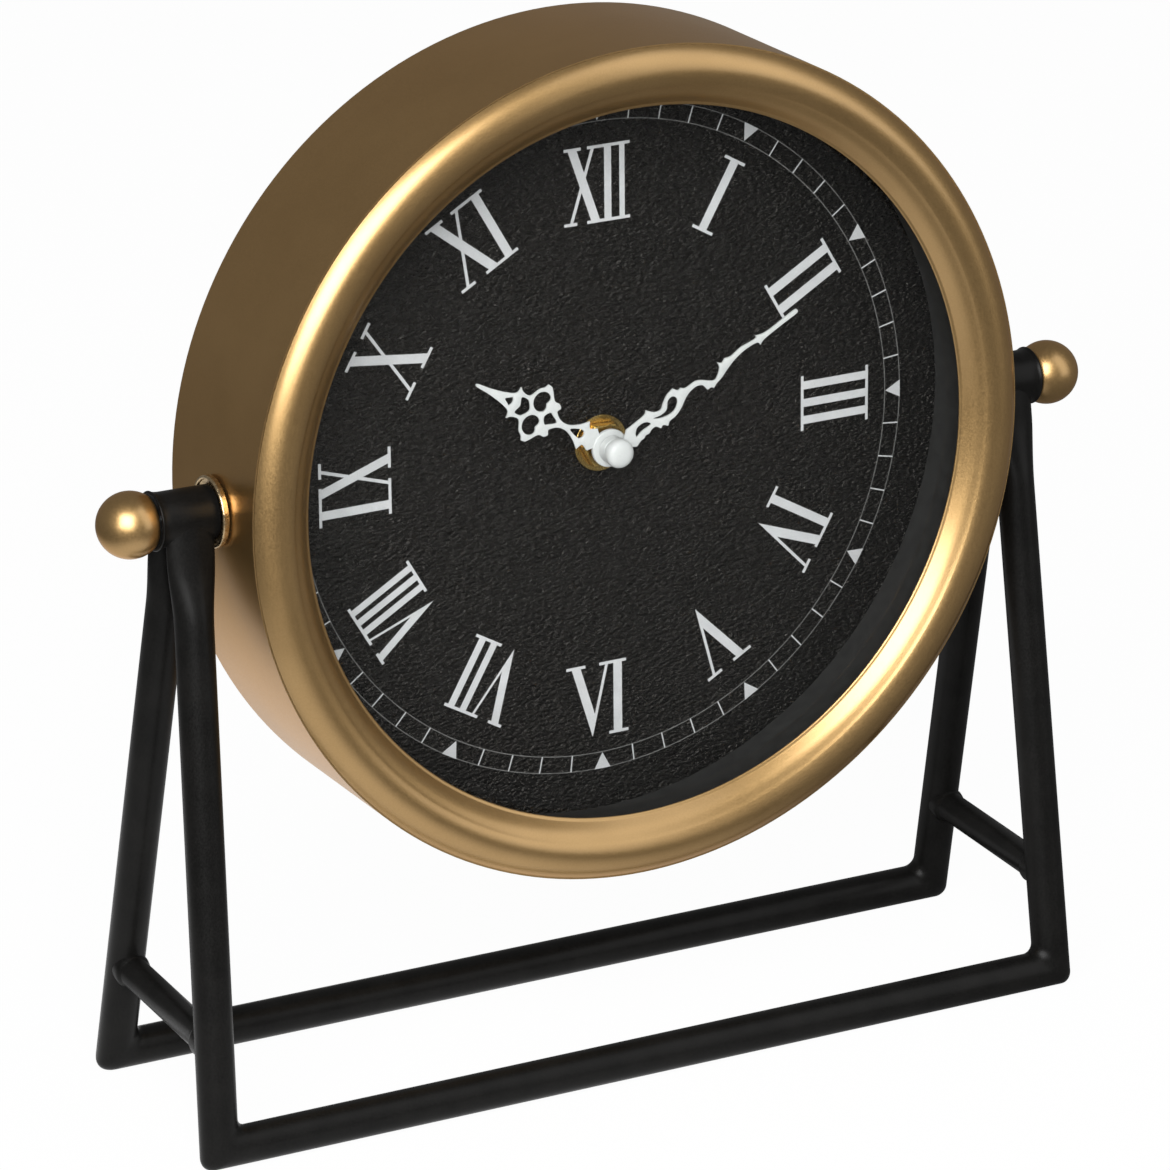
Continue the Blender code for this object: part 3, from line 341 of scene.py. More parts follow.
goldPaint = makePaint("satinGoldPaint", {
    "dark": (0.4, 0.248, 0.095), "light": (0.455, 0.287, 0.115), "cloud": 24.0, "grain": 0.5,
    "rough": (0.32, 0.42), "metallic": 0.98, "bump": 0.6, "relief": 0.03, "coat": 0.65,
    "coatRough": 0.24, "edge": (1.0, 0.66, 0.34)})
cupGold = makePaint("crinkledGoldPaint", {
    "dark": (0.46, 0.34, 0.19), "light": (0.68, 0.52, 0.31), "cloud": 3.0, "grain": 1.1,
    "rough": (0.2, 0.34), "metallic": 1.0, "bump": 0.7, "relief": 0.16})
blackPaint = makePaint("satinBlackPaint", {
    "dark": (0.0035, 0.0034, 0.0032), "light": (0.0065, 0.0062, 0.0058), "cloud": 9.0, "grain": 0.5,
    "rough": (0.28, 0.42), "bump": 0.25, "relief": 0.02, "specular": 0.12})
spacerPaint = makePaint("dullBlackPaint", {
    "dark": (0.016, 0.0155, 0.015), "light": (0.03, 0.029, 0.028), "cloud": 3.0, "grain": 0.25,
    "rough": (0.5, 0.7), "bump": 0.3, "relief": 0.03, "specular": 0.3})
fibreBoard = makePaint("blackFibreboard", {
    "dark": (0.01, 0.009, 0.008), "light": (0.022, 0.02, 0.018), "cloud": 5.0, "grain": 0.6,
    "rough": (0.7, 0.9), "bump": 0.6, "relief": 0.08, "stretch": (1.0, 0.4, 1.0)})
handWhite = makePaint("whiteHandPaint", {
    "dark": (0.57, 0.585, 0.58), "light": (0.67, 0.68, 0.67), "cloud": 4.0, "grain": 0.25,
    "rough": (0.32, 0.45), "bump": 0.15, "relief": 0.01})
printWhite = makePaint("whiteDialInk", {
    "dark": (0.52, 0.52, 0.53), "light": (0.61, 0.61, 0.62), "cloud": 6.0, "grain": 0.3,
    "rough": (0.45, 0.65), "bump": 0.3, "relief": 0.02})
printFaint = makePaint("greyDialInk", {
    "dark": (0.11, 0.108, 0.105), "light": (0.19, 0.185, 0.18), "cloud": 3.0, "grain": 0.3,
    "rough": (0.5, 0.7), "bump": 0.3, "relief": 0.02})
brassMetal = makePaint("turnedBrass", {
    "dark": (0.5, 0.33, 0.09), "light": (0.72, 0.5, 0.18), "cloud": 2.0, "grain": 0.12,
    "rough": (0.18, 0.32), "metallic": 1.0, "bump": 0.3, "relief": 0.01, "stretch": (1.0, 1.0, 0.2)})
steelMetal = makePaint("drawnSteel", {
    "dark": (0.42, 0.42, 0.43), "light": (0.62, 0.62, 0.63), "cloud": 3.0, "grain": 0.15,
    "rough": (0.2, 0.36), "metallic": 1.0, "bump": 0.3, "relief": 0.01, "stretch": (0.2, 1.0, 1.0)})
mouldedBlack = makePaint("mouldedBlackPlastic", {
    "dark": (0.014, 0.014, 0.015), "light": (0.026, 0.026, 0.027), "cloud": 6.0, "grain": 0.22,
    "rough": (0.42, 0.6), "bump": 0.5, "relief": 0.02})
nylonWhite = makePaint("mouldedWhitePlastic", {
    "dark": (0.66, 0.65, 0.6), "light": (0.8, 0.79, 0.75), "cloud": 2.0, "grain": 0.2,
    "rough": (0.35, 0.5), "bump": 0.2, "relief": 0.01})
rubberBlack = makePaint("washerRubber", {
    "dark": (0.012, 0.012, 0.012), "light": (0.024, 0.024, 0.024), "cloud": 2.0, "grain": 0.2,
    "rough": (0.75, 0.9), "bump": 0.5, "relief": 0.02})
boardGreen = makePaint("circuitBoardGreen", {
    "dark": (0.012, 0.1, 0.035), "light": (0.035, 0.22, 0.08), "cloud": 1.6, "grain": 0.2,
    "rough": (0.3, 0.5), "bump": 0.3, "relief": 0.02})
jacketGrey = makePaint("cellJacket", {
    "dark": (0.11, 0.115, 0.13), "light": (0.19, 0.2, 0.215), "cloud": 8.0, "grain": 0.15,
    "rough": (0.24, 0.36), "metallic": 0.4, "bump": 0.15, "relief": 0.01})

# The dial's leatherette: flattened pebbles with wrinkles between them, and painted shade darkening the
# wrinkles
leatherLook = {"dark": (0.0018, 0.0016, 0.0014), "light": (0.0055, 0.005, 0.0045), "pebble": 0.9,
               "wrinkle": 1.5, "warp": (0.8, 0.8, 0.8), "fine": (0.8, 3.0, 0.6), "shadeBand": (-0.3, 0.5),
               "bump": 0.8, "relief": 1.1, "rough": (0.23, 0.31), "stretch": (0.66, 1.0, 1.25),
               "specular": 0.34, "edge": (1.0, 0.93, 0.87)}


def makeLeather(name, look):
    material, shader = newMaterial(name)
    points = surfacePoints(material, look["stretch"])
    warp = addNode(material, "ShaderNodeTexNoise", {"Vector": points, "Scale": 1 / look["wrinkle"],
                                                    "Detail": 3.0})
    shifted = addNode(material, "ShaderNodeVectorMath", {0: warp.outputs["Color"], 1: look["warp"]},
                      operation="MULTIPLY")
    bent = addNode(material, "ShaderNodeVectorMath", {0: points, 1: shifted.outputs[0]},
                   operation="ADD").outputs[0]
    cells = addNode(material, "ShaderNodeTexVoronoi", {"Vector": bent, "Scale": 1 / look["pebble"]},
                    feature="SMOOTH_F1").outputs["Distance"]
    fine = noiseOn(material, bent, *look["fine"])
    height = addMath(material, "SUBTRACT", fine, cells)
    # Base colour follows the height: painted shade, darker down in the wrinkles and lighter on the pebble
    # tops
    paintedCreaseShade = spread(material, height, *look["shadeBand"], 0.0, 1.0)
    setSockets(material, shader, {
        "Base Color": blendColours(material, paintedCreaseShade, look["dark"], look["light"]),
        "Roughness": spread(material, fine, *noiseBand, *look["rough"]),
        "Specular IOR Level": look["specular"],
        "Specular Tint": (*look["edge"], 1),
    })
    addBump(material, shader, height, look)
    return material


dialLeather = makeLeather("blackLeatherette", leatherLook)

# Clear flat glass with the faintest unevenness, which mirrors more at a slant
glassLook = {"tint": (0.97, 0.985, 0.98), "ripple": 30.0, "rough": 0.03, "index": 1.45, "mirror": 0.3}


def makeGlass(name, look):
    material, shader = newMaterial(name)
    ripple = noiseOn(material, surfacePoints(material), look["ripple"])
    clear = addNode(material, "ShaderNodeBsdfTransparent", {
        "Color": blendColours(material, ripple, look["tint"], (1.0, 1.0, 1.0))})
    gloss = addNode(material, "ShaderNodeBsdfGlossy", {"Roughness": look["rough"]})
    slant = addNode(material, "ShaderNodeFresnel", {"IOR": look["index"]})
    share = spread(material, slant.outputs[0], 0.0, 1.0, 0.0, look["mirror"])
    mixSurfaces(material, share, clear, gloss)
    material.node_tree.nodes.remove(shader)
    return material


clearGlass = makeGlass("clearGlass", glassLook)

# Enamelled copper wound round the coil, turn beside turn. A wave texture of scale 1 repeats every
# 0.314, and each repeat is two turns, a light one and a dark one: painted highlight on the raised part
# of the wave and painted shade in its hollow, following the bump.
waveRepeat = 0.314
wireLook = {"dark": (0.2, 0.06, 0.02), "light": (0.62, 0.25, 0.1), "pitch": 0.14, "wander": 0.6,
            "metallic": 0.9, "rough": 0.34, "bump": 0.6, "relief": 0.04}


def makeWire(name, look):
    material, shader = newMaterial(name)
    turns = addNode(material, "ShaderNodeTexWave", {
        "Vector": surfacePoints(material), "Scale": waveRepeat / look["pitch"] / 2,
        "Distortion": look["wander"],
    }, bands_direction="Z").outputs["Fac"]
    # The colour follows the bump's wave: painted highlight on the raised bands, painted shade in the
    # hollows
    setSockets(material, shader, {
        "Base Color": blendColours(material, turns, look["dark"], look["light"]),
        "Metallic": look["metallic"],
        "Roughness": look["rough"],
    })
    addBump(material, shader, turns, look)
    return material


copperWire = makeWire("woundCopperWire", wireLook)
print("materials ready")

# The carried-over pieces get the same finishes
carriedFinishes = (
    (fibreBoard, ["dial_board", "rear_spacer_ring", "back_cover"]),
    (mouldedBlack, ["movement_case", "movement_cover"]),
    (steelMetal, ["left_pivot_bolt", "right_pivot_bolt", "cannon_arbor", "rotor", "stator_plate",
                  "quartz_crystal", "negative_contact", "positive_contact"]),
    (rubberBlack, ["rubber_washer"]),
    (copperWire, ["coil_winding"]),
    (boardGreen, ["circuit_board"]),
    (brassMetal, ["centre_wheel"]),
    (nylonWhite, ["coil_bobbin", "hour_wheel", "motion_wheel", "third_wheel", "seconds_wheel",
                  "intermediate_wheel"]),
)
for finish, nodeNames in carriedFinishes:
    for nodeName in nodeNames:
        materials = frame["nodes"][nodeName].data.materials
        materials.clear()
        materials.append(finish)

# Drum case: a sheet tube with a rolled rear edge that turns in over the cover
caseSizes = {"radius": 109.98, "front": 21.36, "back": 27.5, "wall": 0.8, "roll": 2.5, "rim": 103.0,
             "rimRound": 0.4, "boltHole": 2.8, "drill": 8.0, "drillSides": 48}


def makeCase():
    size = caseSizes
    radius, back = size["radius"], size["back"]
    wall, roll = size["wall"], size["roll"]
    lip = size["rimRound"]
    rim = size["rim"] + lip
    outline = [(radius, size["front"]), (radius, 0)]
    outline += arc(radius - roll, roll - back, roll, roll, 0, -90, 10)
    outline += [(rim, -back)]
    outline += arc(rim, lip - back, lip, lip, -90, -180, 4)
    outline += [(rim, wall - back)]
    outline += arc(radius - roll, roll - back, roll - wall, roll - wall, -90, 0, 8)
    outline += [(radius - wall, 0), (radius - wall, size["front"])]
    case = turnPiece("drumCase", outline)
    for side in (-1, 1):
        drillAcross(case, size["boltHole"], size["drill"], size["drillSides"], side * radius)
    finishOnDrum(case, "drum", goldPaint, ["case_shell"])


makeCase()

# Bezel: a lip over the glass, a sloping band with a faint hollow, and a low rounded crest
bezelSizes = {"crestRadius": 103.3, "base": 15.2, "wide": 8.2, "high": 9.7, "start": 114.5, "end": 40.4,
              "outer": 109.55, "seam": 21.5, "spigot": 108.9, "spigotBack": 16.5, "wall": 0.8,
              "bandSteps": 4, "crestSteps": 40}
bezelLip = [(94.2, 19.15), (93.98, 19.3), (93.92, 19.5), (93.98, 19.68), (94.15, 19.82), (94.4, 19.93)]
bezelBand = [(94.75, 20.07), (95.6, 20.92), (96.4, 21.69), (97.1, 22.28), (97.8, 22.77), (98.5, 23.18),
             (99.1, 23.52), (99.5, 23.77), (99.9, 24.03)]


def makeBezel():
    size = bezelSizes
    last = len(bezelBand) - 1
    band = smoothLoop([(*point, index in (0, last)) for index, point in enumerate(bezelBand)],
                      size["bandSteps"])
    outline = bezelLip + [place[:2] for place in band[:last * size["bandSteps"]]]
    outline += arc(size["crestRadius"], size["base"], size["wide"], size["high"],
                   size["start"], size["end"], size["crestSteps"])
    outline[-1] = (size["outer"], size["seam"])
    inside = size["seam"] + size["wall"]
    inner = size["spigot"] - size["wall"]
    skin = sheetOutline(outline, size["wall"])[len(outline):-len(bezelLip)]
    skin = [point for point in skin if point[1] > inside or point[0] < size["crestRadius"]]
    spigot = [(size["spigot"], size["seam"]), (size["spigot"], size["spigotBack"]),
              (inner, size["spigotBack"]), (inner, inside)]
    bezel = turnPiece("bezelRing", outline + spigot + skin)
    finishOnDrum(bezel, "drum", goldPaint, ["bezel_ring"], 40)


makeBezel()
print("case and bezel ready")

# Glass, the ring that holds it off the dial, and the dial
frontSizes = {"glass": 101.0, "glassBack": 16.3, "glassFront": 18.3, "glassEase": 0.3,
              "ring": 100.4, "ringOuter": 101.6, "ringFlange": 102.6, "ringFront": 16.0,
              "ringBack": -2.9, "ringEase": 0.2, "flange": 1.0,
              "dial": 103.0, "dialFront": -3.2, "dialBack": -3.8, "dialHole": 4.0}


def makeFront():
    size = frontSizes
    edge, ease = size["glass"], size["glassEase"]
    low, high = size["glassBack"], size["glassFront"]
    glass = turnPiece("frontGlass", [(0, high), (edge - ease, high), (edge, high - ease),
                                     (edge, low + ease), (edge - ease, low), (0, low)], closed=False)
    finishOnDrum(glass, "drum", clearGlass, ["glass_lens"])
    inner, outer, ease = size["ring"], size["ringOuter"], size["ringEase"]
    low, high = size["ringBack"], size["ringFront"]
    step = low + size["flange"]
    ring = turnPiece("glassSpacer", [(inner, high - ease), (inner + ease, high), (outer - ease, high),
                                     (outer, high - ease), (outer, step), (size["ringFlange"], step),
                                     (size["ringFlange"], low), (inner, low)])
    finishOnDrum(ring, "drum", spacerPaint, ["front_spacer_ring"])
    inner, outer = size["dialHole"], size["dial"]
    low, high = size["dialBack"], size["dialFront"]
    dial = turnPiece("dialFace", [(inner, high), (outer, high), (outer, low), (inner, low)])
    finishOnDrum(dial, "drum", dialLeather, ["dial_face"])


makeFront()

# Dial print. Each numeral has the radius of its middle. Its bars are middle and width. Its slants run
# from a top to a bottom middle, with a width, and its vee has a thick stroke's top, the point, a thin
# stroke's top and both widths. Its serifs run from one side to another. Crossing strokes differ by
# an ink step in height.
printSizes = {"turn": 0.73, "height": 20.3, "serif": 0.8, "tuck": 0.1, "ink": 0.05, "inkStep": 0.004,
              "trackInner": 85.1, "trackOuter": 89.6, "trackLine": 0.25, "trackSides": 360, "tick": 0.35,
              "triangle": 4.7, "triangleTop": 0.1, "trianglePoint": 0.2}
numerals = {
    "one": {"radius": 70.0, "bars": [(0.1, 2.5)], "tops": [(-3.3, 3.4)], "feet": [(-3.1, 3.6)]},
    "two": {"radius": 69.3, "bars": [(-2.7, 2.6), (3.2, 2.6)], "tops": [(-5.7, 5.7)],
            "feet": [(-5.3, 5.9)]},
    "three": {"radius": 69.8, "bars": [(-5.4, 2.2), (-0.6, 2.2), (4.1, 2.2)], "tops": [(-8.0, 7.0)],
              "feet": [(-8.0, 7.0)]},
    "four": {"radius": 65.8, "bars": [(-4.7, 2.4)], "vee": (0.3, 2.7, 8.1, 2.6, 0.8),
             "tops": [(-7.6, 2.3), (5.9, 9.9)], "feet": [(-8.1, -2.1)]},
    "five": {"radius": 67.9, "vee": (-3.2, 1.2, 6.1, 2.5, 0.8), "tops": [(-6.6, -0.6), (3.4, 8.2)],
             "feet": []},
    "six": {"radius": 70.4, "bars": [(4.7, 2.5)], "vee": (-7.7, -2.8, 1.6, 2.6, 0.8),
            "tops": [(-10.4, -4.8), (-0.7, 7.2)], "feet": [(2.1, 7.8)]},
    "seven": {"radius": 67.8, "bars": [(6.2, 2.0), (2.4, 1.9)], "vee": (-8.4, -3.9, -0.9, 2.3, 0.6),
              "tops": [(-2.6, 8.2), (-10.5, -6.2)], "feet": [(0.2, 8.5)]},
    "eight": {"radius": 69.3, "bars": [(6.3, 1.8), (3.1, 1.8), (-0.1, 1.8)],
              "vee": (-9.0, -5.6, -2.8, 2.1, 0.6), "tops": [(-4.2, 8.1), (-10.9, -7.3)],
              "feet": [(-2.0, 8.4)]},
    "nine": {"radius": 69.9, "bars": [(-6.4, 2.3)], "slants": [(-0.9, 6.0, 2.5), (5.4, -0.8, 0.9)],
             "tops": [(-9.5, 0.9), (3.4, 7.5)], "feet": [(-9.0, 0.5), (3.3, 8.9)]},
    "ten": {"radius": 67.5, "slants": [(-6.8, 1.9, 2.7), (1.8, -7.5, 0.9)],
            "tops": [(-9.6, -4.0), (-0.4, 4.0)], "feet": [(-9.9, -5.0), (-1.0, 4.8)]},
    "eleven": {"radius": 69.0, "bars": [(5.0, 2.4)], "slants": [(-8.3, 0.1, 2.7), (-0.8, -8.7, 0.9)],
               "tops": [(-10.9, -5.4), (-2.6, 7.4)], "feet": [(-10.7, -6.2), (-2.6, 7.8)]},
    "twelve": {"radius": 68.7, "bars": [(2.95, 2.0), (7.05, 1.5)],
               "slants": [(-7.4, -0.4, 2.5), (-1.2, -7.7, 0.9)],
               "tops": [(-9.6, -4.7), (-2.9, 9.3)], "feet": [(-9.6, -5.9), (-3.0, 9.3)]},
}


def slantOutline(top, bottom, width, half):
    return [(bottom - width / 2, -half, 0), (bottom + width / 2, -half, 0),
            (top + width / 2, half, 0), (top - width / 2, half, 0)]


def veeOutline(thickTop, point, thinTop, thick, thin, half):
    # The two strokes' outer edges run to one point, and their inner edges meet above it
    leftInner = Vector((thickTop + thick / 2, half))
    leftLow = Vector((point + thick, -half))
    rightInner = Vector((thinTop - thin / 2, half))
    rightLow = Vector((point - thin, -half))
    gone = (leftInner.x - rightInner.x) / ((leftInner.x - rightInner.x) - (leftLow.x - rightLow.x))
    crotch = leftInner + (leftLow - leftInner) * gone
    return [(point, -half, 0), (thinTop + thin / 2, half, 0), (thinTop - thin / 2, half, 0),
            (crotch.x, crotch.y, 0), (thickTop + thick / 2, half, 0), (thickTop - thick / 2, half, 0)]


def layPrint(piece, turn, ink, radius=0, upright=0):
    leaveMesh()
    placePiece(piece, (0, 0, 0), (0, 0, upright))
    placePiece(piece, (0, radius, frontSizes["dialFront"]))
    finishOnDrum(piece, "drum", ink, turn=turn)


def makeNumeral(name, hour, marks):
    size = printSizes
    ink, step = size["ink"], size["inkStep"]
    half = size["height"] / 2
    stroke = half - size["tuck"]
    piece = startPiece("numeral_" + name)
    for middle, width in marks.get("bars", []):
        drawPatch(slantOutline(middle, middle, width, stroke), ink)
    for index, slant in enumerate(marks.get("slants", [])):
        drawPatch(slantOutline(*slant, stroke), ink - step * (index + 1))
    if "vee" in marks:
        drawPatch(veeOutline(*marks["vee"], stroke), ink - step)
    for spans, edge, side in ((marks["tops"], half, -1), (marks["feet"], -half, 1)):
        for left, right in spans:
            low = min(edge, edge + side * size["serif"])
            high = low + size["serif"]
            drawPatch([(left, low, 0), (right, low, 0), (right, high, 0), (left, high, 0)], ink - 3 * step)
    # Only the six reads upright, and the rest have their heads outwards
    layPrint(piece, size["turn"] - hour * 30, printWhite, marks["radius"], 180 if name == "six" else 0)


for numeralHour, (numeralName, numeralMarks) in enumerate(numerals.items(), 1):
    makeNumeral(numeralName, numeralHour, numeralMarks)


def copyRound(steps):
    # The selected mark is repeated round the dial
    angle = 2 * math.pi * (steps - 1) / steps
    bpy.ops.mesh.spin(steps=steps - 1, dupli=True, angle=angle, center=(0, 0, 0), axis=(0, 0, 1))


def makeTrack():
    size = printSizes
    ink, step = size["ink"], size["inkStep"]
    inner, outer = size["trackInner"], size["trackOuter"]
    track = startPiece("minuteTrack")
    for radius in (inner, outer):
        line = radius - size["trackLine"] / 2
        pickNone()
        bpy.ops.mesh.primitive_circle_add(vertices=size["trackSides"], radius=line * mm)
        bpy.ops.mesh.extrude_edges_move()
        grow = 1 + size["trackLine"] / line
        bpy.ops.transform.resize(value=(grow, grow, 1), center_override=(0, 0, 0))
        bpy.ops.mesh.select_linked()
        pull((0, 0, (ink - 5 * step) * mm))
        bpy.ops.mesh.select_linked()
        faceOut()
    layPrint(track, size["turn"], printFaint)
    marks = startPiece("minuteTicks")
    wide = size["tick"] / 2
    for minute in range(1, 5):
        pickNone()
        turn = Matrix.Rotation(-minute * 6 * degree, 3, "Z")
        points = [(-wide, inner, 0), (wide, inner, 0), (wide, outer, 0), (-wide, outer, 0)]
        drawPatch([tuple(turn @ Vector(point)) for point in points], ink)
    pickAll()
    copyRound(12)
    layPrint(marks, size["turn"], printWhite)
    pointers = startPiece("hourTriangles")
    wide = size["triangle"] / 2
    top = outer + size["triangleTop"]
    drawPatch([(0, inner + size["trianglePoint"], 0), (wide, top, 0), (-wide, top, 0)], ink + step)
    copyRound(12)
    layPrint(pointers, size["turn"], printWhite)


makeTrack()
print("dial and print ready")

# Hands. Outlines are shares of a hand's length, along it and to its right, with True at a thorn.
# Collets and cap are radius and height.
handSizes = {"thickness": 0.6, "edge": 0.1,
             "hourLength": 44.4, "hourBack": 1.65, "hourTurn": 59.5,
             "minuteLength": 61.0, "minuteBack": 5.0, "minuteTurn": -60.5,
             "ringAlong": 0.551, "ringSide": 0.074, "ringHole": 0.06, "ringKnob": 0.42, "ringSides": 40}
hourHalf = [
    (1.0, 0.0), (0.985, 0.01), (0.9, 0.017), (0.8, 0.034), (0.732, 0.058),
    (0.722, 0.098, True), (0.694, 0.078), (0.64, 0.077), (0.605, 0.132), (0.577, 0.154),
    (0.563, 0.178, True), (0.536, 0.174, True), (0.516, 0.152), (0.478, 0.108), (0.44, 0.104),
    (0.419, 0.084), (0.43, 0.056), (0.38, 0.022), (0.315, 0.02), (0.25, 0.05),
    (0.202, 0.088, True), (0.18, 0.052), (0.134, 0.07, True), (0.1, 0.04, True),
]
hourHoles = [
    [(0.787, 0.0), (0.762, 0.017), (0.742, 0.026), (0.729, 0.0), (0.742, -0.026), (0.762, -0.017)],
    [(0.69, 0.046), (0.676, 0.0), (0.69, -0.046), (0.655, -0.052), (0.63, -0.042),
     (0.602, 0.0), (0.63, 0.042), (0.655, 0.052)],
    [(0.497, 0.0), (0.47, 0.038), (0.444, 0.028), (0.4, 0.0), (0.444, -0.028), (0.47, -0.038)],
    [(0.3, 0.0), (0.222, 0.027), (0.197, 0.0), (0.222, -0.027)],
]
minuteEdge = [
    (0.99, -0.009), (0.925, -0.009), (0.829, -0.01), (0.781, -0.028, True), (0.775, -0.015),
    (0.702, -0.025), (0.645, -0.021), (0.615, -0.032, True), (0.595, -0.022), (0.577, -0.04, True),
    (0.575, -0.01), (0.546, 0.018), (0.522, 0.019), (0.482, -0.015), (0.453, -0.031),
    (0.402, -0.034), (0.384, -0.05, True), (0.368, -0.048), (0.352, -0.07, True), (0.315, -0.062),
    (0.281, -0.04), (0.262, -0.025), (0.231, -0.034), (0.202, -0.068, True), (0.185, -0.053),
    (0.126, -0.05), (0.087, -0.05, True), (0.055, -0.02, True), (0.055, 0.02, True),
    (0.09, 0.044, True), (0.12, 0.033), (0.135, 0.034), (0.148, 0.027), (0.165, 0.03),
    (0.182, 0.022), (0.205, 0.024), (0.221, 0.046, True), (0.236, 0.04), (0.254, 0.058, True),
    (0.27, 0.044), (0.305, 0.042), (0.342, 0.028), (0.372, 0.008), (0.405, -0.007),
    (0.445, -0.01), (0.472, 0.005), (0.482, 0.038, True), (0.501, 0.038), (0.51, 0.05, True),
    (0.53, 0.04), (0.563, 0.032), (0.61, 0.014), (0.66, 0.0), (0.715, -0.005),
    (0.772, 0.003), (0.783, 0.024, True), (0.812, 0.011), (0.925, 0.009), (0.99, 0.009),
    (1.0, 0.0),
]
minuteHoles = [
    [(0.33, -0.044), (0.345, -0.026), (0.34, -0.003), (0.313, 0.018), (0.28, 0.019),
     (0.24, 0.006), (0.212, -0.016), (0.245, -0.006), (0.277, -0.007), (0.292, -0.022),
     (0.306, -0.04)],
    [(0.193, 0.0), (0.178, -0.022), (0.154, -0.03), (0.128, -0.026), (0.11, -0.006),
     (0.112, 0.008), (0.13, 0.004), (0.152, 0.001), (0.175, 0.003)],
]
hourCollet = [(2.65, 1.6), (2.75, 1.5), (4.8, 1.5), (5.0, 1.7), (5.0, 2.5), (4.8, 2.7), (2.75, 2.7),
              (2.65, 2.6)]
minuteCollet = [(1.65, 3.2), (1.75, 3.1), (3.4, 3.1), (3.6, 3.3), (3.6, 5.6), (3.45, 5.75),
                (1.75, 5.75), (1.65, 5.65)]
capOutline = [(0, 9.45), (1.4, 9.4), (2.3, 9.25), (3.0, 8.95), (3.5, 8.5), (3.75, 7.95), (3.8, 7.4),
              (3.8, 6.3), (3.65, 6.05), (1.65, 6.05), (1.65, 7.7), (0, 7.7)]


def handLoop(shares, length):
    return smoothLoop([(point[1] * length, point[0] * length, len(point) > 2) for point in shares])


def ringLoop(length, side):
    # A round hole with a knob that stands in from the side of the dial's middle
    size = handSizes

    def radiusAt(turn):
        dent = max(0, math.cos(turn + math.pi / 2)) ** 8
        return size["ringHole"] * length * (1 - size["ringKnob"] * dent)

    return roundLoop(size["ringSides"], radiusAt, side * size["ringSide"] * length,
                     size["ringAlong"] * length)


def makeHand(name, loops, colletOutline):
    size = handSizes
    body = name + "_hand"
    blade = makePlate(name + "Hand", loops, size[name + "Back"], size["thickness"], size["edge"])
    collet = turnPiece(name + "Collet", colletOutline, "middling")
    for piece, replaced in ((blade, [body]), (collet, [])):
        finishOnDrum(piece, body, handWhite, replaced, turn=size[name + "Turn"])


def makeHands():
    length = handSizes["hourLength"]
    otherHalf = [(point[0], -point[1], *point[2:]) for point in reversed(hourHalf[1:])]
    loops = [handLoop(shares, length) for shares in (hourHalf + otherHalf, *hourHoles)]
    makeHand("hour", loops + [ringLoop(length, side) for side in (-1, 1)], hourCollet)
    length = handSizes["minuteLength"]
    makeHand("minute", [handLoop(shares, length) for shares in (minuteEdge, *minuteHoles)], minuteCollet)
    cap = turnPiece("handCap", capOutline, "middling", closed=False)
    finishOnDrum(cap, "minute_hand", handWhite, ["hand_cap"], 50, handSizes["minuteTurn"])


makeHands()

# The fixing nut and its washer at the dial's middle. A cone takes off the nut's corners.
nutSizes = {"flats": 11.0, "back": -2.1, "front": 0.4, "bore": 4.0, "boreEase": 0.35, "edge": 0.08,
            "coneTop": -0.9, "coneFoot": 1.6, "coneLow": 0.9,
            "washer": 7.5, "washerBack": -2.9, "washerFront": -2.4, "washerEase": 0.12}


def makeFixings():
    size = nutSizes
    low, high, bore = size["back"], size["front"], size["bore"]
    corner = size["flats"] / 2 / math.cos(30 * degree)
    clearSelection()
    bpy.ops.mesh.primitive_cylinder_add(vertices=6, radius=corner * mm, depth=(high - low) * mm)
    nut = bpy.context.object
    nut.name = "fixingNut"
    placePiece(nut, (0, 0, (high + low) / 2))
    foot = corner + size["coneFoot"]
    cone = turnPiece("nutCone", [(0, high + 0.1), (corner + size["coneTop"], high + 0.1),
                                 (foot, low + size["coneLow"]), (foot, low - 0.5), (0, low - 0.5)],
                     "middling", closed=False)
    cutWith(nut, cone, "INTERSECT")
    drill = turnPiece("nutDrill", [(0, 1), (bore + size["boreEase"], 1), (bore, 0.1), (bore, -4), (0, -4)],
                      "middling", closed=False)
    cutWith(nut, drill)
    softenEdges(nut, size["edge"], 25)
    finishOnDrum(nut, "drum", brassMetal, ["hex_nut"], turn=30)
    edge, ease = size["washer"], size["washerEase"]
    low, high = size["washerBack"], size["washerFront"]
    washer = turnPiece("nutWasher", [(bore, low), (edge, low), (edge, high - ease), (edge - ease, high),
                                     (bore, high)], "middling")
    finishOnDrum(washer, "drum", brassMetal, ["brass_washer"])


makeFixings()
print("hands and fixings ready")

# Pivots: a ball knob, a sleeve and a cup washer on each bolt, measured out along its axis
pivotSizes = {"ball": 8.5, "ballMiddle": 133.2, "flat": 127.8, "bore": 2.8, "boreEnd": 136.0,
              "sleeve": 7.0, "sleeveStart": 111.4, "sleeveEnd": 127.5, "bell": 0.62, "bellLong": 3.2,
              "bellLip": 0.32, "sleeveEase": 0.5,
              "cup": 9.25, "cupStart": 110.3, "cupFloor": 111.1, "cupTop": 112.1, "cupRim": 1.0,
              "cupEase": 0.3}


def finishOnPivot(piece, side, body, material, node, angle):
    placePiece(piece, (0, 0, drumSeat["height"]), (0, 90 * side, 0))
    finishPiece(piece, body, material, [node], angle)


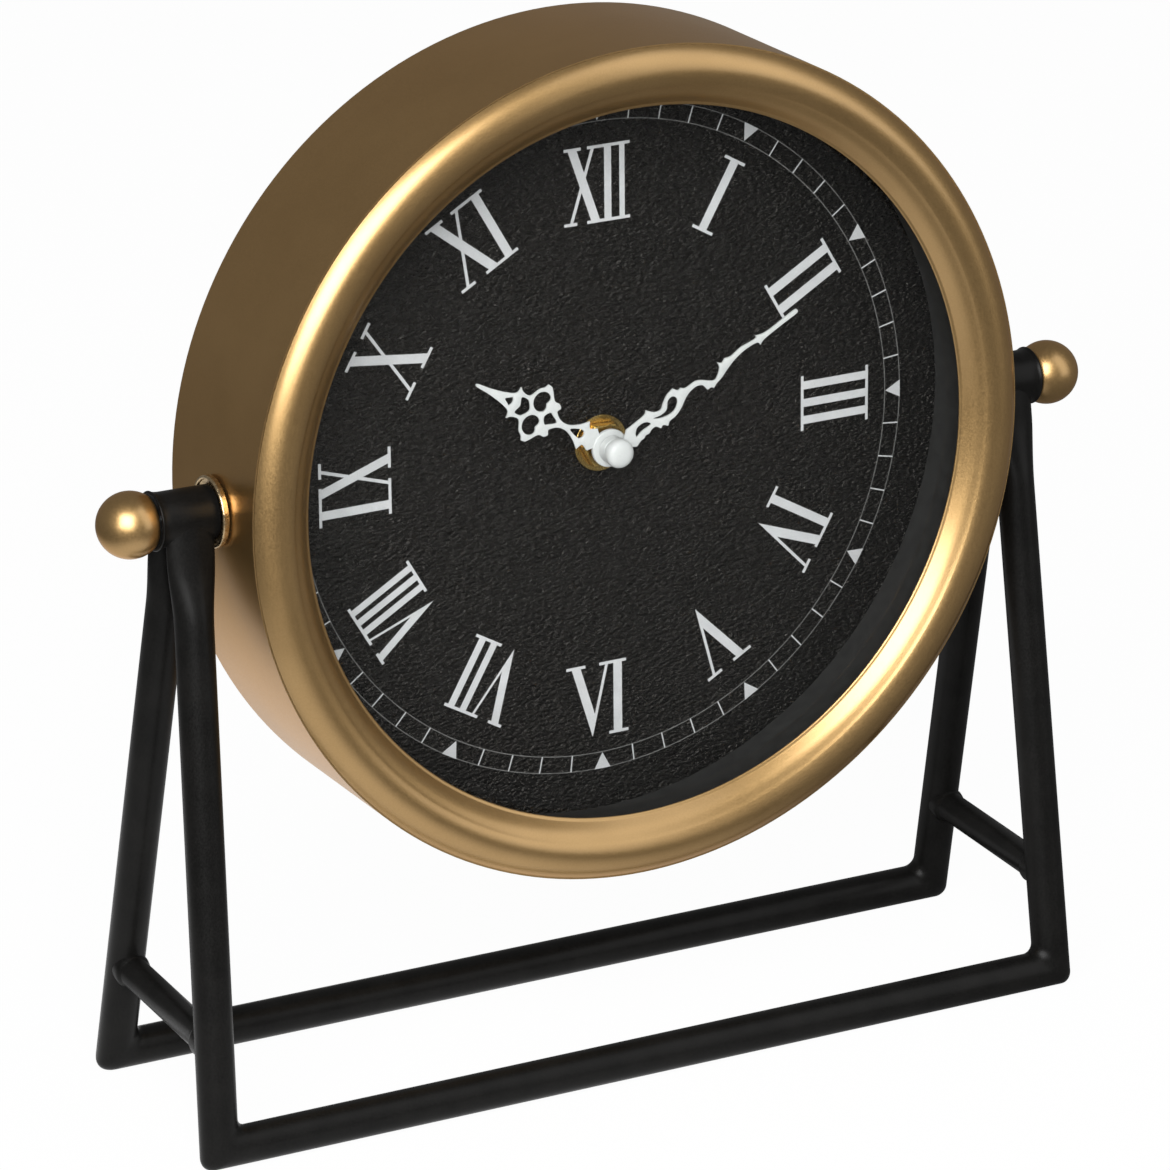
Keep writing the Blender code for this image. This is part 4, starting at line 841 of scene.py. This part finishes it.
def makePivot(sideName, side):
    size = pivotSizes
    bore = size["bore"]
    ball, middle, flat = size["ball"], size["ballMiddle"], size["flat"]
    end = math.degrees(math.asin((flat - middle) / ball))
    outline = arc(0, middle, ball, ball, 90, end + 3, 32)
    outline[0] = (0, middle + ball)
    outline += [(6.45, flat + 0.1), (6.1, flat), (bore + 0.2, flat), (bore, flat + 0.2),
                (bore, size["boreEnd"]), (0, size["boreEnd"])]
    knob = turnPiece(sideName + "Knob", outline, "ball", closed=False)
    finishOnPivot(knob, side, sideName + "_knob", goldPaint, sideName + "_knob", 35)
    outer, start, end = size["sleeve"], size["sleeveStart"], size["sleeveEnd"]
    bell, lip, ease = size["bell"], size["bellLip"], size["sleeveEase"]
    outline = [(bore, start), (outer - ease, start)]
    outline += arc(outer - ease, start + ease, ease, ease, -90, 0, 4)
    for share in (0, 0.2, 0.4, 0.6, 0.8):
        # The open end is belled out
        outline.append((outer + bell * share ** 2.2, end - size["bellLong"] * (1 - share)))
    outline += arc(outer + bell - lip, end - lip, lip, lip, -20, 90, 6)
    outline += [(outer - 0.1, end - 0.08), (outer - 0.6, end - 0.4), (bore + 1.4, end - 0.7),
                (bore, end - 0.7)]
    sleeve = turnPiece(sideName + "Sleeve", outline, "middling")
    finishOnPivot(sleeve, side, "stand", blackPaint, sideName + "_sleeve", 50)
    outer, start, floor, ease = size["cup"], size["cupStart"], size["cupFloor"], size["cupEase"]
    edge = outer - size["cupRim"]
    rim = size["cupRim"] / 2
    outline = [(bore, start), (outer - ease, start)]
    outline += arc(outer - ease, start + ease, ease, ease, -90, 0, 4)
    outline += arc(outer - rim, size["cupTop"] - rim, rim, rim, 0, 180, 10)
    outline += [(edge, floor + 0.2), (edge - 0.2, floor), (bore, floor)]
    cup = turnPiece(sideName + "CupWasher", outline, "ball")
    finishOnPivot(cup, side, "drum", cupGold, sideName + "_cup_washer", 50)


makePivot("left", -1)
makePivot("right", 1)
print("pivots ready")

# Stand: each frame is one tube run down a leg, along its bar and up the other leg
standSizes = {"footX": 124.0, "footY": 31.7, "footZ": 5.0, "topX": 118.9, "topY": 3.8, "tube": 5.0,
              "tubeSides": 64, "flatWide": 6.4, "flatThick": 3.0, "flatReach": 9.0, "flareReach": 27.0,
              "flareSteps": 12, "overrun": 12.0, "cornerRound": 2.6, "cornerSteps": 8,
              "saddle": 6.6, "saddleDrill": 300.0, "saddleSides": 96, "brace": 4.0, "braceHeight": 31.5}


def selectByPlace(piece, test):
    mesh = bmesh.from_edit_mesh(piece.data)
    pickNone()
    for vertex in mesh.verts:
        vertex.select = test(vertex.co / mm)
    mesh.select_flush(True)
    bmesh.update_edit_mesh(piece.data)


def pullTube(step, point=None, normal=None):
    # Pulls the open end on, and with a plane given cuts off what is past it and leaves that end selected
    pull(step * mm)
    if point is not None:
        pickAll()
        bpy.ops.mesh.bisect(plane_co=point * mm, plane_no=normal.normalized(), clear_outer=True)


def makeStandFrame(name, front, replaced):
    # Half the frame is drawn from the middle of its bar to a leg's pressed top, then mirrored
    size = standSizes
    foot = Vector((size["footX"], front * size["footY"], size["footZ"]))
    top = Vector((size["topX"], front * size["topY"], drumSeat["height"]))
    up = (top - foot).normalized()
    bar = Vector((1, 0, 0))
    middle = Vector((0, foot.y, foot.z))
    mitre = (bar + up).normalized()
    clearSelection()
    bpy.ops.mesh.primitive_circle_add(vertices=size["tubeSides"], radius=size["tube"] * mm,
                                      location=middle * mm, rotation=(0, math.pi / 2, 0))
    piece = bpy.context.object
    piece.name = name
    bpy.ops.object.transform_apply(location=True, rotation=True, scale=True)
    bpy.ops.object.mode_set(mode="EDIT")
    pickAll()
    pullTube(foot - middle + bar * size["overrun"], foot, mitre)
    place = top - up * size["flareReach"]
    pullTube(up * ((top - foot).length + size["overrun"]), place, up)
    wide = size["flatWide"] / size["tube"] - 1
    thick = size["flatThick"] / size["tube"] - 1
    steps = size["flareSteps"]
    length = (size["flareReach"] - size["flatReach"]) / steps
    before = 0
    for index in range(1, steps + 1):
        share = index / steps
        after = share * share * (3 - 2 * share)
        pullTube(up * length)
        place = place + up * length
        growX = (1 + wide * after) / (1 + wide * before)
        growY = (1 + thick * after) / (1 + thick * before)
        bpy.ops.transform.resize(value=(growX, growY, growY), center_override=place * mm)
        before = after
    pullTube(up * size["flatReach"])
    bpy.ops.mesh.edge_face_add()
    selectByPlace(piece, lambda spot: abs((spot - foot).dot(mitre)) < 0.01)
    bpy.ops.mesh.bevel(offset=size["cornerRound"] * mm, segments=size["cornerSteps"], affect="EDGES")
    leaveMesh()
    runModifier(piece, "MIRROR", {"use_axis": (True, False, False), "merge_threshold": 0.01 * mm})
    bpy.ops.object.mode_set(mode="EDIT")
    pickAll()
    faceOut()
    leaveMesh()
    drillAcross(piece, size["saddle"], size["saddleDrill"], size["saddleSides"], z=drumSeat["height"])
    finishPiece(piece, "stand", blackPaint, replaced)


makeStandFrame("frontFrame", -1, ["front_bar", "left_front_leg", "right_front_leg"])
makeStandFrame("rearFrame", 1, ["rear_bar", "left_rear_leg", "right_rear_leg"])


def makeBrace(sideName, side):
    # A short rod between the legs, with a weld bead where it meets each
    size = standSizes
    share = (size["braceHeight"] - size["footZ"]) / (drumSeat["height"] - size["footZ"])
    across = size["footX"] + (size["topX"] - size["footX"]) * share
    reach = size["footY"] + (size["topY"] - size["footY"]) * share
    rod = size["brace"]
    bead = reach - size["tube"]
    half = [(0, reach - 1), (rod + 0.5, reach - 1), (rod + 0.85, bead + 0.4), (rod + 0.6, bead - 0.6),
            (rod + 0.15, bead - 1.2), (rod, bead - 1.5)]
    outline = half + [(radius, -height) for radius, height in reversed(half)]
    brace = turnPiece(sideName + "Brace", outline, "small", closed=False)
    placePiece(brace, (side * across, 0, size["braceHeight"]), (90, 0, 0))
    finishPiece(brace, "stand", blackPaint, [sideName + "_brace"], 50)


makeBrace("left", -1)
makeBrace("right", 1)
print("stand ready")

# The back: a cover board with a rounded square opening, the setting knob and the battery
backSizes = {"cover": 107.5, "coverBack": -26.4, "coverThick": 2.4, "coverEase": 0.15, "opening": 64.0,
             "openingRound": 5.0, "knob": 4.5, "knobX": -7.0711, "knobY": 7.0711, "knobBack": -27.3,
             "knobFront": -24.4, "knobEase": 0.2, "flutes": 28, "fluteDeep": 0.28, "fluteSteps": 6,
             "cellRadius": 7.1, "cellHalf": 24.75, "cellNub": 2.7, "nubLong": 1.0, "cellAcross": -18.3,
             "cellDepth": -16.7}


def roundedSquare(width, corner):
    half = width / 2 - corner
    loop = []
    for quarter, (x, y) in enumerate(((1, 1), (-1, 1), (-1, -1), (1, -1))):
        start = quarter * 90
        loop += [(*point, 0) for point in arc(x * half, y * half, corner, corner, start, start + 90, 8)]
    return loop


def makeBack():
    size = backSizes
    loops = [roundLoop(turnedSides["large"], lambda turn: size["cover"]),
             roundedSquare(size["opening"], size["openingRound"])]
    cover = makePlate("rearCover", loops, size["coverBack"], size["coverThick"], size["coverEase"])
    finishOnDrum(cover, "drum", fibreBoard, ["back_cover"])

    def fluteAt(turn):
        return size["knob"] - size["fluteDeep"] * (0.5 + 0.5 * math.cos(turn * size["flutes"])) ** 2

    loop = roundLoop(size["flutes"] * size["fluteSteps"], fluteAt)
    knob = makePlate("settingKnob", [loop], size["knobBack"], size["knobFront"] - size["knobBack"],
                     size["knobEase"])
    finishOnDrum(knob, "motion_wheel", mouldedBlack, ["setting_knob"],
                 location=(size["knobX"], size["knobY"], 0))


def makeCell():
    # A jacket with a stepped cap at one end and a flat base at the other, laid across the drum
    size = backSizes
    half, radius = size["cellHalf"], size["cellRadius"]
    nub, end = size["cellNub"], size["cellHalf"] + size["nubLong"]
    jacket = [(0, -half + 0.35), (radius - 1.4, -half + 0.35), (radius - 1.0, -half + 0.05),
              (radius - 0.4, -half + 0.05), (radius, -half + 0.5), (radius, half - 0.5),
              (radius - 0.4, half - 0.05), (radius - 1.0, half - 0.05), (radius - 1.4, half - 0.4),
              (0, half - 0.4)]
    cap = [(0, half - 0.5), (nub + 1.6, half - 0.5), (nub + 1.2, half - 0.2), (nub + 0.2, half - 0.1),
           (nub, half + 0.1), (nub, end - 0.2), (nub - 0.2, end), (0, end)]
    base = [(0, -half), (radius - 1.7, -half), (radius - 1.5, -half + 0.2), (radius - 1.5, -half + 0.5),
            (0, -half + 0.5)]
    for name, outline, sides, material, slot, replaced in (
            ("batteryJacket", jacket, "middling", jacketGrey, "cell_jacket", ["battery_cell"]),
            ("batteryNub", cap, "small", steelMetal, "steel", []),
            ("batteryBase", base, "small", steelMetal, "steel", [])):
        centred = [(wide, height - size["nubLong"] / 2) for wide, height in outline]
        piece = turnPiece(name, centred, sides, closed=False)
        placePiece(piece, (0, 0, 0), (0, 90, 0))
        finishOnDrum(piece, "battery", material, replaced,
                     location=(0, size["cellAcross"], size["cellDepth"]))


makeBack()
makeCell()
print("back ready")

# Studio: a pale floor, a soft key from the upper left, a weaker fill and an even sky. Mirrors see the
# floor as a pool of light round the clock's left feet.
studioLook = {"floor": 2.3, "floorMiddle": (-0.3, 0.84, 0), "floorTurn": 30, "floorGlow": 0.97,
              "floorDark": (0.8, 0.8, 0.8), "floorLight": (0.82, 0.82, 0.82), "floorCloud": 90.0,
              "floorRough": 0.6, "pool": (-120, 0, 0), "poolStretch": (1, 0.6, 1),
              "poolBand": (100, 240), "poolShine": (1.0, 0.18), "sky": 0.22,
              "key": 44.0, "keySize": (1.2, 1.2), "keyPlace": (-0.86, -1.05, 0.98),
              "fill": 8.0, "fillSize": (0.9, 2.0), "fillPlace": (0.86, -0.95, 0.95),
              "aim": (0.0, 0.0, 0.15)}


def seenDirectly(owner, path):
    # 1 where the camera looks, straight or through the glass
    return addMath(owner, "MAXIMUM", path["Is Camera Ray"], path["Is Transmission Ray"])


def makeFloor(look):
    clearSelection()
    bpy.ops.mesh.primitive_plane_add(size=look["floor"], location=look["floorMiddle"],
                                     rotation=(0, 0, look["floorTurn"] * degree))
    floor = bpy.context.object
    floor.name = "studioFloor"
    bpy.ops.object.transform_apply(location=True, rotation=True, scale=True)
    material, shader = newMaterial("studioWhite")
    cloud = noiseOn(material, surfacePoints(material), look["floorCloud"])
    setSockets(material, shader, {
        "Base Color": blendColours(material, cloud, look["floorDark"], look["floorLight"]),
        "Roughness": look["floorRough"],
    })
    path = addNode(material, "ShaderNodeLightPath").outputs
    spot = surfacePoints(material, look["poolStretch"], [-place for place in look["pool"]])
    away = addNode(material, "ShaderNodeVectorMath", {0: spot}, operation="LENGTH")
    shine = spread(material, away.outputs["Value"], *look["poolBand"], *look["poolShine"])
    strength = addNode(material, "ShaderNodeMix", {0: path["Is Glossy Ray"], 2: 1.0, 3: shine},
                       data_type="FLOAT")
    glow = addNode(material, "ShaderNodeEmission", {"Strength": strength.outputs[0]})
    share = addMath(material, "MULTIPLY", seenDirectly(material, path), look["floorGlow"])
    mixSurfaces(material, addMath(material, "MAXIMUM", share, path["Is Glossy Ray"]), shader, glow)
    floor.data.materials.append(material)


def makeLamp(name, look):
    place = look[name + "Place"]
    bpy.ops.object.light_add(type="AREA", location=place)
    lamp = bpy.context.object
    lamp.name = name + "Lamp"
    lamp.data.shape = "RECTANGLE"
    lamp.data.size, lamp.data.size_y = look[name + "Size"]
    lamp.data.energy = look[name]
    lamp.rotation_euler = (Vector(look["aim"]) - Vector(place)).to_track_quat("-Z", "Y").to_euler()


def makeSky(look):
    world = bpy.data.worlds.new("studioSky")
    bpy.context.scene.world = world
    world.use_nodes = True
    seen = seenDirectly(world, addNode(world, "ShaderNodeLightPath").outputs)
    setSockets(world, world.node_tree.nodes["Background"], {
        "Color": (1, 1, 1, 1), "Strength": spread(world, seen, 0.0, 1.0, look["sky"], 1.0)})


makeFloor(studioLook)
makeSky(studioLook)
makeLamp("key", studioLook)
makeLamp("fill", studioLook)

cameraPlace = {"location": (-0.703024, -1.266686, 0.697284), "turn": (68.4539, -1.21646, -28.37416),
               "lens": 185.7456, "sensor": 36, "reach": 20}
bpy.ops.object.camera_add(location=cameraPlace["location"],
                          rotation=[turn * degree for turn in cameraPlace["turn"]])
camera = bpy.context.object
camera.data.lens = cameraPlace["lens"]
camera.data.sensor_width = cameraPlace["sensor"]
camera.data.clip_end = cameraPlace["reach"]
bpy.context.scene.camera = camera
bpy.context.scene.view_settings.view_transform = "Standard"
print("studio ready")

bpy.context.view_layer.update()
